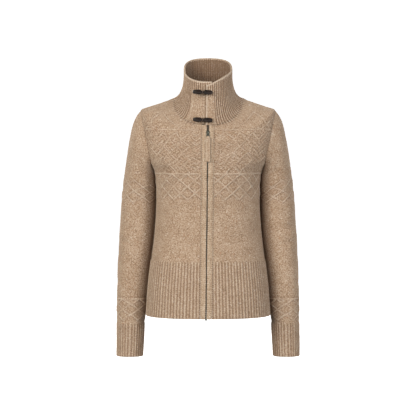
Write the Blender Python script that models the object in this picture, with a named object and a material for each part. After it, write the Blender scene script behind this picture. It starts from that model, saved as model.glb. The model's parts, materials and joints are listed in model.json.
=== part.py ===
"""A worn, hollow cable knit cardigan with a ribbed stand collar, zip and two toggles.

Metres, +Z up. The front faces -Y and +X is the viewer's right. The origin is the middle of the
neck, level with the shoulders' inner ends, where a wearer holds the garment up.
Sizes and tables are in millimetres. Each cloth wall has a plain inside, and an outside that
carries the ribs and cables.
"""

import math

import bmesh
import bpy
import numpy as np
from mathutils.geometry import delaunay_2d_cdt

MM = 0.001
SIDES = ((-1, "left"), (1, "right"))  # left and right as the viewer sees the front

# Cloth
WALL = 3.0  # thickness of the knit between its cables
SEAM = 0.3  # space between two pieces that are sewn together
RIB_RISE = 1.6  # height of a rib over the valley beside it
CABLE_RISE = 1.6
CABLE_HALF = 3.0  # half the width of a cable or ridge
ROUNDNESS = 2.3  # exponent of the body's rounded oblong sections, 2 is an ellipse

# Heights, from the neck's middle down to the hem
HEM = -559.0
HEM_RIB_TOP = -411.0
LATTICE_FOOT = -255.0
LATTICE_TOP = -189.0
TIP = -28.0  # shoulder tip, the armhole's upper end
NECK = 67.0  # level of the neckline's ring, counted on along the shoulder seam
CUFF = -669.0

# Rings of the body. Below the armhole a level is a height. Above it a ring leans: side_z is its
# height on the shoulder line, front_z and back_z its heights at the middle of front and back.
TORSO_NAMES = "level half_width front back side_z front_z back_z"
TORSO_ROWS = (
    (-559, 161.0, 113, 108, -559, -559, -559),
    (-494, 156.6, 110, 104, -494, -494, -494),
    (-442, 151.0, 106, 98, -442, -442, -442),
    (-390, 144.2, 103, 94, -390, -390, -390),
    (-338, 138.3, 101, 91, -338, -338, -338),
    (-286, 134.9, 103, 90, -286, -286, -286),
    (-234, 133.6, 108, 93, -234, -234, -234),
    (-200, 135.8, 112, 96, -200, -200, -200),
    (-187, 138.8, 113.5, 97, -187, -187.5, -187),
    (-175, 145.5, 114, 98, -175, -177, -175.5),
    (-160, 157.0, 113.5, 98, -160, -168, -162),
    (-130, 168.0, 112, 98, -130, -151, -136),
    (-90, 175.0, 108, 97, -90, -131, -105),
    (-55, 177.0, 103, 94, -55, -117, -79),
    (-28, 174.0, 99, 90, -28, -107, -60),
    (0, 148.0, 95.5, 85, -17, -95, -41),
    (30, 119.5, 91.5, 79, -7.5, -81, -20),
    (67, 88.0, 88, 72, 3, -65, 3),
)
ARMHOLE_LOW = (143.0, -175.0)  # x and z of two points of the armhole's plane
ARMHOLE_HIGH = (174.0, -28.0)

# Rings of a sleeve, from the armhole to the cuff. A ring runs from its inner point, beside the
# body, to its outer one, whose height names it. middle_y is how far its middle lies behind the
# side seams, and half_depth is half its size from front to back.
SLEEVE_NAMES = "outer_z outer_x inner_x inner_z middle_y half_depth"
SLEEVE_ROWS = (
    (-42, 184.4, 144.2, -182.5, 1, 56),
    (-65, 194.5, 144.8, -186.5, 3, 57),
    (-99, 202.2, 143.3, -192.5, 7, 58),
    (-140, 209.6, 140.2, -202, 13, 58),
    (-182, 216.0, 137.6, -217, 20, 57.5),
    (-224, 221.2, 136.3, -238, 26, 57),
    (-265, 225.6, 136.4, -268, 30, 56),
    (-328, 230.0, 139.0, -328, 31, 52),
    (-390, 233.8, 145.5, -390, 31, 47),
    (-452, 237.0, 153.0, -452, 30, 43),
    (-494, 238.2, 158.2, -494, 29, 41),
    (-546, 238.4, 164.0, -546, 27, 38),
    (-572, 238.4, 165.5, -572, 26, 36.5),
    (-620, 238.4, 168.0, -620, 24, 33),
    (-669, 238.8, 171.0, -669, 22, 31),
)
CAP_BLEND = -150.0  # below this ring a sleeve no longer has the armhole's outline

# Knit patterns
BODY_RIBS = 26  # in a quarter of the hem
BODY_DIAMONDS = 5  # in a quarter of the lattice band
CUFF_RIBS = 32
ARM_LATTICE = (-198.0, -263.0)
ARM_DIAMONDS = 7
LOW_LATTICE = (-517.0, -572.0)
LOW_DIAMONDS = 6
CUFF_RIB_TOP = -578.0
RIB_FADE = 7.0  # length over which a rib rises from the plain knit
QUARTER = 205.0  # width that a quarter of the body is unrolled to
SLEEVE_FLAT = 280.0  # width that a sleeve is unrolled to
LATTICE_SHIFT = {"right": 5.0, "left": 14.0}  # where the fronts' diamonds start beside the zip
LONG_STEP = 20.0  # longest straight stretch of a ridge that runs round the cloth

# Distances between the free places on a face, round the cloth and along it
BODY_PLAIN_STEP = (27.0, 55.0)
BODY_YOKE_STEP = (25.0, 22.0)
BODY_INNER_STEP = (34.0, 80.0)
BODY_INNER_YOKE_STEP = (27.0, 27.0)
ARM_PLAIN_STEP = (20.0, 55.0)
ARM_CAP_STEP = (20.0, 21.0)
ARM_INNER_STEP = (23.0, 75.0)
ARM_INNER_CAP_STEP = (20.0, 27.0)

# Ridges of one half of the yoke, as seen from the front: x away from the middle, and z
YOKE_LINES = (
    ((24, -77), (68, -77), (118, -77), (160, -77)),
    ((116, -33), (144, -57), (158, -77)),
    ((116, -33), (73, -71)),
    ((167, -46), (140, -72)),
    ((46, -86), (79, -120), (46, -154), (79, -187)),
    ((79, -86), (112, -120), (79, -154), (112, -187)),
    ((112, -86), (79, -120), (112, -154), (79, -187)),
    ((79, -86), (46, -120), (79, -154), (46, -187)),
)
CHEVRON_TIPS = (-102, -122, -142, -162)  # heights of the nested V cables beside the armhole
CHEVRON_X = (114, 129, 144)  # where a V starts, turns and ends
CHEVRON_DROP = 17
BRAID_X = (20, 30, 40)  # the narrow braid beside the zip
BRAID_TOP = -86
BRAID_PITCH = 12
BRAID_DROP = 8
BRAID_COUNT = 8
BACK_LINES = (  # the trellis goes on over the middle of the back
    ((13, -86), (46, -120), (13, -154), (46, -187)),
    ((46, -86), (13, -120), (46, -154), (13, -187)),
)

# Collar. The rim is a leaning oval, and elbow is the oval where the flared base turns upright.
OVAL_NAMES = "half_width front back side_z front_z back_z"
RIM = dict(zip(OVAL_NAMES.split(), (61.4, 84.0, 56.0, 78.0, 45.0, 109.0)))
ELBOW = dict(zip(OVAL_NAMES.split(), (58.5, 85.0, 59.0, 11.0, -42.0, 17.0)))
NAPE_FLATNESS = 0.65  # below 1 the oval's height stays near that of its back for longer
LAP_RIGHT = -3.0  # degrees round the neck where the lapping end stops
LAP_LEFT = 368.0  # and where the end under it stops
LAP_SHIFT = 2.9  # how far the lapped ends move out or in
LAP_FADE = (6.0, 24.0)  # degrees from the middle over which they move back
LAP_DIP = 9.0  # how much lower the lapping end's rim is at its corner
LAP_DIP_TURN = 20.0  # degrees over which the dip ends
LAP_RISE = 7.0  # and how much higher it is beside that
LAP_RISE_TURN = (22.0, 35.0, 75.0)  # degrees where the rise is whole, starts to fall and ends
COLLAR_RIBS = 66
COLLAR_STEPS = (0, 0.16, 0.38, 0.66, 1)
COLLAR_FLAT = 490.0
COLLAR_HIGH = 110.0

# Zip and its bindings, as distances from the zip's middle line
ZIP_X = ((-65.0, 0.0), (-559.0, -5.2))  # z and x of the line's two ends
PANEL_EDGE = 15.4
BINDING = (2.6, 15.1)
BINDING_RISE = (0.5, 1.7)  # at its edges and on its flat
BINDING_ROUND = 3.0  # width of its rounded edges
BINDING_SINK = 3.4
ZIP_TOP = -69.0
SLIDER_Z = -87.0
TAPE = (2.4, 13.5)
TAPE_DEPTH = (3.9, 4.7)
CHAIN_NEAR = 0.4  # an open row of teeth starts here
CHAIN_HALF = 2.1
CHAIN_DEPTH = (1.2, 4.0)
CHAIN_FOOT = -551.5
ZIP_FOOT = -562.5
ZIP_STEP = 29.0  # length of one straight stretch of the zip's parts
ZIP_END_HALF = 2.3
ZIP_END_DEPTH = (0.6, 3.4)

# Slider: half widths of its stem and plate, and heights out of the cloth
SLIDER_HALVES = (1.9, 3.9)
SLIDER_OUT = (-0.8, 2.0, 3.4)
SLIDER_LENGTH = 12.0
CROWN_HALF = 0.9
CROWN_SINK = 0.4  # how far its feet go into the plate
CROWN_UP = (4.7, 3.3)  # the crown's half length, and its hole's
CROWN_OUT = (5.8, 7.0)  # the hole's roof and the crown's crest
PIVOT_OUT = 4.6
PIVOT_UP = -2.4

# Pull
LINK_WIRE = 1.2
LINK_SIZE = (8.0, 8.4)
STRIP_SIZE = (12.6, 66.0, 3.2)
STRIP_RINGS = ((0.0, 0.82), (0.03, 1.0), (0.97, 1.0), (1.0, 0.82))  # share of length, size
STRIP_CLEAR = 0.8
STRIP_BEVEL = 0.3  # as a share of its thickness

# Toggles: the profile's rows are places along the toggle and radii
TOGGLE_PROFILE = (
    (-25.0, 3.1),
    (-23.0, 4.5),
    (-13.0, 6.1),
    (-6.0, 5.7),
    (-2.2, 3.2),
    (0.0, 3.0),
    (2.2, 3.2),
    (6.0, 5.7),
    (13.0, 6.1),
    (23.0, 4.5),
    (25.0, 3.1),
)
TOGGLE_GROOVE = 3.2
TOGGLE_FLUTES = 7
FLUTE_DEPTH = 0.07
TOGGLE_X = -13.6
TOGGLE_TILT = -2.5  # degrees, its right end lower
TOGGLE_HEIGHTS = {"upper": 17.5, "lower": -52.5}
LOOP_CORD = 1.0


def columns(names, rows):
    """A table with named columns, its rows in rising order of the first one."""
    values = np.array(sorted(rows), dtype=float)
    return dict(zip(names.split(), values.T))


def curve(at, xs, ys):
    """Smooth values between the rows of a table, with no overshoot."""
    at = np.clip(at, xs[0], xs[-1])
    run = np.diff(xs)
    rise = np.diff(ys) / run
    slope = np.concatenate(([rise[0]], np.zeros(len(xs) - 2), [rise[-1]]))
    same = rise[:-1] * rise[1:] > 0
    weight_a = 2 * run[1:] + run[:-1]
    weight_b = run[1:] + 2 * run[:-1]
    before = np.where(same, rise[:-1], 1.0)
    after = np.where(same, rise[1:], 1.0)
    slope[1:-1] = np.where(same, (weight_a + weight_b) / (weight_a / before + weight_b / after), 0.0)
    i = np.clip(np.searchsorted(xs, at) - 1, 0, len(xs) - 2)
    t = (at - xs[i]) / run[i]
    along = slope[i] * t * (1 - t) ** 2 - slope[i + 1] * t**2 * (1 - t)
    return ys[i] + (ys[i + 1] - ys[i]) * t**2 * (3 - 2 * t) + along * run[i]


def ease(t):
    """0 to 1 with level ends."""
    t = np.clip(t, 0, 1)
    return t * t * (3 - 2 * t)


def power(value, exponent):
    """A power that keeps the sign of its base."""
    return np.sign(value) * np.abs(value) ** exponent


TORSO = columns(TORSO_NAMES, TORSO_ROWS)


def torso(angle, level, back=False):
    """Points of the body's outer face. angle is 0 in the middle and a quarter turn at the sides."""

    def read(name):
        return curve(level, TORSO["level"], TORSO[name])

    exponent = 2 / ROUNDNESS
    across = power(np.sin(angle), exponent)
    forward = np.abs(np.cos(angle)) ** exponent
    lean = 2 - (2 - exponent) * ease((level - TIP) / (NECK - TIP))
    side_z = read("side_z")
    if back:
        y = read("back") * forward
        middle_z = read("back_z")
    else:
        y = -read("front") * forward
        middle_z = read("front_z")
    z = side_z + (middle_z - side_z) * np.abs(np.cos(angle)) ** lean
    return np.stack((read("half_width") * across, y, z), axis=-1)


def unit(vectors):
    return vectors / np.linalg.norm(vectors, axis=-1, keepdims=True)


class Half:
    """The front or the back half of the body, unrolled to width w and level v."""

    def __init__(self, back):
        self.back = back
        self.levels = np.linspace(HEM, NECK, 160)
        self.angles = np.linspace(0, math.pi / 2, 121)
        grid = torso(self.angles[None, :], self.levels[:, None], back)
        steps = np.linalg.norm(np.diff(grid, axis=1), axis=2)
        lengths = np.concatenate((np.zeros((len(self.levels), 1)), np.cumsum(steps, axis=1)), axis=1)
        self.shares = lengths / lengths[:, -1:]

    def angle(self, w, level):
        """The angle round the ring at an unrolled width."""
        share = np.clip(np.abs(w) / QUARTER, 0, 1)
        row = np.clip((level - HEM) / (NECK - HEM) * (len(self.levels) - 1), 0, len(self.levels) - 1.001)
        low = row.astype(int)
        part = (row - low)[:, None]
        rings = self.shares[low] * (1 - part) + self.shares[low + 1] * part
        k = np.clip((rings < share[:, None]).sum(axis=1) - 1, 0, len(self.angles) - 2)
        pick = np.arange(len(k))
        t = (share - rings[pick, k]) / (rings[pick, k + 1] - rings[pick, k])
        return np.sign(w) * (self.angles[k] + t * (self.angles[k + 1] - self.angles[k]))

    def width(self, angle, level):
        """The unrolled width at an angle."""
        row = np.clip((level - HEM) / (NECK - HEM) * (len(self.levels) - 1), 0, len(self.levels) - 1.001)
        low = int(row)
        ring = self.shares[low] * (1 - row + low) + self.shares[low + 1] * (row - low)
        return math.copysign(QUARTER * float(np.interp(abs(angle), self.angles, ring)), angle)

    def place(self, flat):
        """Points and outward normals at unrolled places."""
        w = flat[:, 0]
        level = flat[:, 1]
        angle = self.angle(w, level)
        points = torso(angle, level, self.back)
        toward = np.where(w >= 0, -1.0, 1.0)
        small = 0.003
        round_it = (torso(angle + toward * small, level, self.back) - points) * toward[:, None]
        up = torso(angle, level + 0.5, self.back) - torso(angle, level - 0.5, self.back)
        normals = np.cross(up, round_it) if self.back else np.cross(round_it, up)
        return points, unit(normals)

    def seen(self, x, z):
        """The unrolled place that shows at x and z from straight in front or behind."""
        low = HEM
        high = NECK
        for _ in range(40):
            level = (low + high) / 2
            half = float(curve(level, TORSO["level"], TORSO["half_width"]))
            sine = min(abs(x) / half, 1.0) ** (ROUNDNESS / 2)
            angle = math.copysign(math.asin(sine), x)
            if torso(angle, level, self.back)[2] < z:
                low = level
            else:
                high = level
        return self.width(angle, level), level


def armhole_x(z):
    """x of the armhole's plane, which stands along Y."""
    run = (z - ARMHOLE_LOW[1]) / (ARMHOLE_HIGH[1] - ARMHOLE_LOW[1])
    return ARMHOLE_LOW[0] + (ARMHOLE_HIGH[0] - ARMHOLE_LOW[0]) * run


def halve(low, high, is_low):
    """The place between low and high where is_low turns false."""
    for _ in range(50):
        middle = (low + high) / 2
        if is_low(middle):
            low = middle
        else:
            high = middle
    return (low + high) / 2


def side_is_inside(level):
    x, _, z = torso(math.pi / 2, level)
    return x < armhole_x(z)


UNDERARM = halve(-190.0, -165.0, side_is_inside)


def armhole_angle(level, back):
    """The angle at which a ring of the body meets the armhole's plane."""

    def inside(angle):
        x, _, z = torso(angle, level, back)
        return x < armhole_x(z)

    return halve(0.0, math.pi / 2, inside)


def zip_x(z):
    (top, top_x), (foot, foot_x) = ZIP_X
    return top_x + (foot_x - top_x) * (z - top) / (foot - top)


def zip_angle(level, away):
    """The angle of the front ring that lies `away` from the zip's line."""

    def left_of_it(angle):
        x, _, z = torso(angle, level)
        return x < zip_x(z) + away

    return halve(-0.9, 0.9, left_of_it)


# Planes that seams end on: a point of the plane, and its normal out of the body piece.
# A free edge has none. A run without either is a cut, whose two sides are welded.
FREE = "free"
Y_PLANE = (np.zeros(3), np.array((0.0, 1.0, 0.0)))


def armhole_plane(side):
    along = np.array((ARMHOLE_HIGH[0] - ARMHOLE_LOW[0], 0.0, ARMHOLE_HIGH[1] - ARMHOLE_LOW[1]))
    normal = unit(np.array((along[2] * side, 0.0, -along[0])))
    return np.array((ARMHOLE_LOW[0] * side, 0.0, ARMHOLE_LOW[1])), normal


def zip_plane(side):
    (top, top_x), (foot, foot_x) = ZIP_X
    normal = unit(np.array((foot - top, 0.0, top_x - foot_x))) * side
    return np.array((top_x + PANEL_EDGE * side, 0.0, top)), normal


def neck_plane(back):
    side = torso(math.pi / 2, NECK)
    middle = torso(0.0, NECK, back)
    slope = (middle[2] - side[2]) / middle[1]
    return np.array((0.0, 0.0, side[2])), unit(np.array((0.0, -slope, 1.0)))


def level_plane(z, up):
    return np.array((0.0, 0.0, z)), np.array((0.0, 0.0, float(up)))


def triangulate(outline, lines, inner):
    """Points and triangles that fill an outline, with each line kept as edges."""
    coords = [tuple(p) for p in outline]
    edges = []
    for line in lines:
        start = len(coords)
        coords += [tuple(p) for p in line]
        edges += [(start + i, start + i + 1) for i in range(len(line) - 1)]
    coords += [tuple(p) for p in inner]
    face = list(range(len(outline)))
    found = delaunay_2d_cdt(coords, edges, [face], 1, 0.02, True)
    flat = np.array([tuple(p) for p in found[0]])
    kept = [tri for tri, source in zip(found[2], found[5]) if source]
    used = sorted({i for tri in kept for i in tri})
    renumber = {old: new for new, old in enumerate(used)}
    return flat[used], [tuple(renumber[i] for i in tri) for tri in kept]


def along_outline(flat, outline):
    """How far round the outline each place lies, counted in outline points, and its distance."""
    start = np.array(outline)
    run = np.roll(start, -1, axis=0) - start
    offset = flat[:, None, :] - start[None, :, :]
    share = np.clip((offset * run).sum(axis=2) / (run * run).sum(axis=1), 0, 1)
    away = np.linalg.norm(offset - share[:, :, None] * run, axis=2)
    nearest = away.argmin(axis=1)
    pick = np.arange(len(flat))
    return nearest + share[pick, nearest], away[pick, nearest]


def rim_places(flat, triangles, outline):
    """The outline place of each point on the sheet's rim."""
    count = {}
    for a, b, c in triangles:
        for pair in ((a, b), (b, c), (c, a)):
            key = tuple(sorted(pair))
            count[key] = count.get(key, 0) + 1
    rim = sorted({i for pair, uses in count.items() if uses == 1 for i in pair})
    places, _ = along_outline(flat[rim], outline)
    return dict(zip(rim, places))


def seam_direction(normal, planes):
    """The way through the wall at a seam: in the seam's planes, and a whole wall thick."""
    basis = []
    for _, plane_normal in planes:
        for other in basis:
            plane_normal = plane_normal - (plane_normal @ other) * other
        basis.append(plane_normal / np.linalg.norm(plane_normal))
    through = normal
    for plane_normal in basis:
        through = through - (through @ plane_normal) * plane_normal
    return through / max(through @ through, 0.3)


def onto(point, planes, gap):
    """Move a point until it lies a gap inside each plane."""
    for _ in range(6):
        for origin, normal in planes:
            point = point - normal * ((point - origin) @ normal + gap)
    return point


class Sheet:
    """One piece of knitted cloth: an outline of runs, each run ending at a plane or a cut."""

    def __init__(self, name, place, runs, height):
        self.name = name
        self.place = place
        self.height = height
        self.outline = []
        self.spans = []
        for points, plane, gap in runs:
            start = len(self.outline)
            self.outline += [tuple(p) for p in points[:-1]]
            self.spans.append((start, start + len(points) - 1, plane, gap))

    def planes_at(self, place):
        """The seam planes that meet at a place of the outline."""
        total = len(self.outline)
        found = []
        for start, end, plane, gap in self.spans:
            inside = start - 1e-6 <= place <= end + 1e-6
            at_start = start == 0 and place >= total - 1e-6
            at_end = end == total and place <= 1e-6
            if isinstance(plane, tuple) and (inside or at_start or at_end):
                found.append((plane, gap))
        return found

    def face(self, lines, inner, rise):
        """One face of the wall: its points in space, its triangles and its rim."""
        flat, triangles = triangulate(self.outline, lines, inner)
        base, normals = self.place(flat)
        lift = self.height(flat) if rise is None else np.full(len(flat), rise)
        rim = rim_places(flat, triangles, self.outline)
        points = base + normals * lift[:, None]
        for i, place in rim.items():
            found = self.planes_at(place)
            if found:
                planes = [plane for plane, _ in found]
                through = seam_direction(normals[i], planes)
                points[i] = onto(base[i] + through * lift[i], planes, found[0][1])
        return points, triangles, rim

    def run_of(self, rim, start, end):
        """The rim's points along one run, in order."""
        total = len(self.outline)
        row = []
        for i, place in rim.items():
            if end == total and place <= 1e-6:
                place = total
            if start == 0 and place >= total - 1e-6:
                row.append((0.0, i))
            if start - 1e-6 <= place <= end + 1e-6:
                row.append((place, i))
        return sorted(row)

    def build(self, material, lines, outer_points, inner_points):
        points, faces, rim = self.face(lines, outer_points, None)
        inside, inner_faces, inner_rim = self.face([], inner_points, -WALL)
        shift = len(points)
        faces = faces + [(c + shift, b + shift, a + shift) for a, b, c in inner_faces]
        inner_rim = {i + shift: place for i, place in inner_rim.items()}
        for start, end, plane, _ in self.spans:
            if plane is not None:
                faces += stitch(self.run_of(rim, start, end), self.run_of(inner_rim, start, end))
        return make_object(self.name, np.concatenate((points, inside)), faces, material)


def stitch(first, second):
    """Triangles between two rows of points that run side by side."""
    faces = []
    i = 0
    j = 0
    while i < len(first) - 1 or j < len(second) - 1:
        more_first = i < len(first) - 1
        more_second = j < len(second) - 1
        if more_first and (not more_second or first[i + 1][0] <= second[j + 1][0]):
            faces.append((first[i][1], first[i + 1][1], second[j][1]))
            i += 1
        else:
            faces.append((first[i][1], second[j + 1][1], second[j][1]))
            j += 1
    return faces


def make_object(name, points, faces, material, smooth=True):
    """A closed mesh object, its points given in millimetres."""
    mesh = bpy.data.meshes.new(name)
    shape = bmesh.new()
    corners = [shape.verts.new(tuple(float(v) * MM for v in p)) for p in points]
    for face in faces:
        shape.faces.new([corners[i] for i in face])
    bmesh.ops.remove_doubles(shape, verts=shape.verts, dist=2e-6)
    bmesh.ops.recalc_face_normals(shape, faces=shape.faces)
    if shape.calc_volume(signed=True) < 0:
        bmesh.ops.reverse_faces(shape, faces=shape.faces)
    shape.to_mesh(mesh)
    shape.free()
    mesh.materials.append(material)
    if smooth:
        mesh.shade_smooth()
        mesh.set_sharp_from_angle(angle=math.radians(40))
    thing = bpy.data.objects.new(name, mesh)
    bpy.context.scene.collection.objects.link(thing)
    return thing


def finish(name, colour, roughness, metallic=0.0):
    """A material with the piece's colour, roughness and metallic value."""
    material = bpy.data.materials.new(name)
    material.use_nodes = True
    shader = material.node_tree.nodes["Principled BSDF"]
    shader.inputs["Base Color"].default_value = (*colour, 1.0)
    shader.inputs["Roughness"].default_value = roughness
    shader.inputs["Metallic"].default_value = metallic
    return material


# Knit patterns: lines on the unrolled cloth, and the height of the cloth round them


def ridge(line, half=CABLE_HALF):
    """A ridge's crest and its two feet, for the triangles to follow."""
    rows = []
    for a, b in zip(line[:-1], line[1:]):
        a = np.array(a, dtype=float)
        b = np.array(b, dtype=float)
        along = (b - a) / np.linalg.norm(b - a)
        side = np.array((-along[1], along[0])) * half
        rows += [(a, b), (a + side, b + side), (a - side, b - side)]
    return rows


def near(flat, lines, half=CABLE_HALF):
    """1 on the crest of the nearest line, and 0 at its feet and beyond."""
    best = np.zeros(len(flat))
    for line in lines:
        for a, b in zip(line[:-1], line[1:]):
            a = np.array(a, dtype=float)
            run = np.array(b, dtype=float) - a
            share = np.clip(((flat - a) @ run) / (run @ run), 0, 1)
            away = np.linalg.norm(flat - a - share[:, None] * run, axis=1)
            best = np.maximum(best, 1 - np.clip(away / half, 0, 1))
    return best


def divided(line, longest):
    """The line with points added, so that no step is longer than a length."""
    row = [np.array(line[0], dtype=float)]
    for a, b in zip(line[:-1], line[1:]):
        a = np.array(a, dtype=float)
        b = np.array(b, dtype=float)
        count = max(1, math.ceil(np.linalg.norm(b - a) / longest))
        row += [a + (b - a) * (k + 1) / count for k in range(count)]
    return row


def lattice(left, right, top, foot, pitch, phase):
    """Crossing diagonals, two diamonds high, that fill a band."""
    lines = []
    first = math.floor((left - phase) / pitch) - 2
    last = math.ceil((right - phase) / pitch) + 2
    for k in range(first, last + 1):
        start = phase + k * pitch
        for way in (-1, 1):
            x_end = start + way * 2 * pitch
            low, high = sorted((start, x_end))
            if high > left and low < right:
                lines.append(((start, top), (start + way * pitch, (top + foot) / 2), (x_end, foot)))
    return lines


def on_half(half, side, lines):
    """Lines given as seen from in front or behind, on the unrolled cloth."""
    return [[half.seen(x * side, z) for x, z in line] for line in lines]


def yoke_pattern(half, side):
    """The cables of one half of a yoke, mirrored by side."""
    seen = list(YOKE_LINES)
    if half.back:
        seen += BACK_LINES
    for tip in CHEVRON_TIPS:
        start, turn, end = CHEVRON_X
        seen.append(((start, tip + CHEVRON_DROP), (turn, tip), (end, tip + CHEVRON_DROP)))
    return on_half(half, side, seen)


def braid(half, side, shift):
    """The braid's crests, or with a shift of half a pitch the valleys between them."""
    start, turn, end = BRAID_X
    rows = []
    for k in range(BRAID_COUNT):
        z = BRAID_TOP - (k + shift) * BRAID_PITCH
        rows.append(((start, z), (turn, z - BRAID_DROP), (end, z)))
    return on_half(half, side, rows)


def rib_columns(places, low, high, levels):
    """Straight columns for the ribs' crests and valleys."""
    return [[(w, v) for v in levels if low <= v <= high] for w in places]


def rib_height(phase, v, top, rise):
    """Rib height at a phase counted in ribs, fading out at the ribs' top."""
    wave = 0.5 + 0.5 * np.cos(2 * math.pi * phase)
    return rise * wave * ease((top - v) / RIB_FADE)


def grid_points(left, right, low, high, step_w, step_v):
    """Evenly spread places in a rectangle."""
    across = max(1, round((right - left) / step_w))
    up = max(1, round((high - low) / step_v))
    return [
        (left + (right - left) * (i + 0.5 * (j % 2)) / across, low + (high - low) * j / up)
        for j in range(up + 1)
        for i in range(across + 1 - (j % 2))
    ]


def inside_outline(points, outline, margin):
    """The points that lie inside an outline, a margin away from it."""
    shape = np.array(outline)
    after = np.roll(shape, -1, axis=0)
    kept = []
    _, away = along_outline(np.array(points), outline)
    for (x, y), distance in zip(points, away):
        crosses = (shape[:, 1] > y) != (after[:, 1] > y)
        run = after[crosses] - shape[crosses]
        at = shape[crosses][:, 0] + (y - shape[crosses][:, 1]) / run[:, 1] * run[:, 0]
        if (at > x).sum() % 2 == 1 and distance > margin:
            kept.append((x, y))
    return kept


# Outlines of the body's panels


def between(a, b, count):
    """Places from a to b, both included."""
    return [tuple(p) for p in np.linspace(a, b, count + 1)]


def armhole_run(half, side):
    """The armhole's edge on a panel, from the underarm up to the shoulder tip."""
    run = [(QUARTER * side, UNDERARM)]
    for share in np.linspace(0, 1, 13)[1:-1]:
        level = UNDERARM + (TIP - UNDERARM) * ease(share)
        run.append((half.width(armhole_angle(level, half.back) * side, level), level))
    run.append((QUARTER * side, TIP))
    return run


def zip_run(half, side):
    """The edge that the binding is sewn to, from the hem up to the neck."""
    away = PANEL_EDGE * side
    return [(half.width(zip_angle(v, away), v), v) for v in np.linspace(HEM, NECK, 22)]


def body_runs(half, side):
    """The runs from the hem's side corner up the seams to the neck's side corner."""
    forward = -1 if half.back else 1
    seam = (Y_PLANE[0], Y_PLANE[1] * forward)
    edge = QUARTER * side
    return [
        (between((edge, HEM), (edge, UNDERARM), 12), seam, SEAM / 2),
        (armhole_run(half, side), armhole_plane(side), SEAM / 2),
        (between((edge, TIP), (edge, NECK), 5), seam, SEAM / 2),
    ]


def backwards(runs):
    return [(points[::-1], plane, gap) for points, plane, gap in reversed(runs)]


def body_pattern(half, sides, phase, left, right):
    """Lines and height of a panel that spans left to right of the unrolled width."""
    pitch = QUARTER / BODY_DIAMONDS
    lines = lattice(left, right, LATTICE_TOP, LATTICE_FOOT, pitch, phase)
    lines += [divided([(left, LATTICE_TOP), (right, LATTICE_TOP)], LONG_STEP)]
    for side in sides:
        lines += yoke_pattern(half, side)
    rib = QUARTER / BODY_RIBS
    levels = (HEM, (HEM + HEM_RIB_TOP) / 2, HEM_RIB_TOP - RIB_FADE, HEM_RIB_TOP)
    first = math.ceil(left / rib * 2)
    last = math.floor(right / rib * 2)
    places = [k * rib / 2 for k in range(first, last + 1) if left + 1 < k * rib / 2 < right - 1]
    kept = rib_columns(places, HEM, HEM_RIB_TOP, levels)
    for line in lines:
        kept += ridge(line)
    if not half.back:
        crests = braid(half, sides[0], 0.0)
        kept += crests + braid(half, sides[0], 0.5)
        lines = lines + crests

    def height(flat):
        ribs = rib_height(flat[:, 0] / rib, flat[:, 1], HEM_RIB_TOP, RIB_RISE)
        return np.maximum(ribs, CABLE_RISE * near(flat, lines))

    return kept, height


def panel_grids(outline, left, right):
    """Places that follow the body's curve, for the outer and the inner face."""
    plain = grid_points(left, right, HEM_RIB_TOP + 25, LATTICE_FOOT - 20, *BODY_PLAIN_STEP)
    yoke = grid_points(left, right, LATTICE_TOP + 14, NECK - 8, *BODY_YOKE_STEP)
    inner = grid_points(left, right, HEM + 60, LATTICE_FOOT, *BODY_INNER_STEP)
    inner += grid_points(left, right, LATTICE_TOP - 20, NECK - 10, *BODY_INNER_YOKE_STEP)
    return inside_outline(plain + yoke, outline, 6), inside_outline(inner, outline, 9)


def make_front(side, word, material):
    """One front: rib hem, plain body, lattice band and cabled yoke in one piece."""
    half = Half(back=False)
    edge = zip_run(half, side)
    neck = between((QUARTER * side, NECK), edge[-1], 9)
    hem = between(edge[0], (QUARTER * side, HEM), 4)
    runs = [(hem, level_plane(HEM, -1), 0.0)]
    runs += body_runs(half, side)
    runs += [(neck, neck_plane(False), SEAM / 2), (edge[::-1], zip_plane(side), 0.0)]
    if side < 0:
        runs = backwards(runs)
    left, right = sorted((4.0 * side, QUARTER * side))
    lines, height = body_pattern(half, (side,), LATTICE_SHIFT[word] * side, left, right)
    sheet = Sheet(f"front_{word}", half.place, runs, height)
    outer, inner = panel_grids(sheet.outline, left, right)
    return sheet.build(material, lines, outer, inner)


def make_back(material):
    """The back, from side seam to side seam."""
    half = Half(back=True)
    hem = between((-QUARTER, HEM), (QUARTER, HEM), 12)
    neck = between((QUARTER, NECK), (-QUARTER, NECK), 20)
    runs = [(hem, level_plane(HEM, -1), 0.0)]
    runs += body_runs(half, 1)
    runs += [(neck, neck_plane(True), SEAM / 2)]
    runs += backwards(body_runs(half, -1))
    lines, height = body_pattern(half, (-1, 1), 0.0, -QUARTER, QUARTER)
    sheet = Sheet("back", half.place, runs, height)
    outer, inner = panel_grids(sheet.outline, -QUARTER, QUARTER)
    return sheet.build(material, lines, outer, inner)


# Sleeves


def underarm_point():
    x, _, z = torso(math.pi / 2, UNDERARM)
    return x, z


SLEEVE = columns(
    SLEEVE_NAMES,
    SLEEVE_ROWS + ((TIP, ARMHOLE_HIGH[0], *underarm_point(), 0.0, 54.0),),
)


def armhole_outline():
    """The armhole's depth to the front and to the back, by the share of its length."""
    low = np.array(underarm_point())
    span = np.array(ARMHOLE_HIGH) - low
    table = {}
    for back in (False, True):
        shares = [0.0]
        depths = [0.0]
        for step in np.linspace(0, 1, 60)[1:-1]:
            level = UNDERARM + (TIP - UNDERARM) * ease(step)
            x, y, z = torso(armhole_angle(level, back), level, back)
            shares.append(float((np.array((x, z)) - low) @ span / (span @ span)))
            depths.append(abs(float(y)))
        table[back] = (shares + [1.0], depths + [0.0])
    return table


ARMHOLE = armhole_outline()


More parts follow.
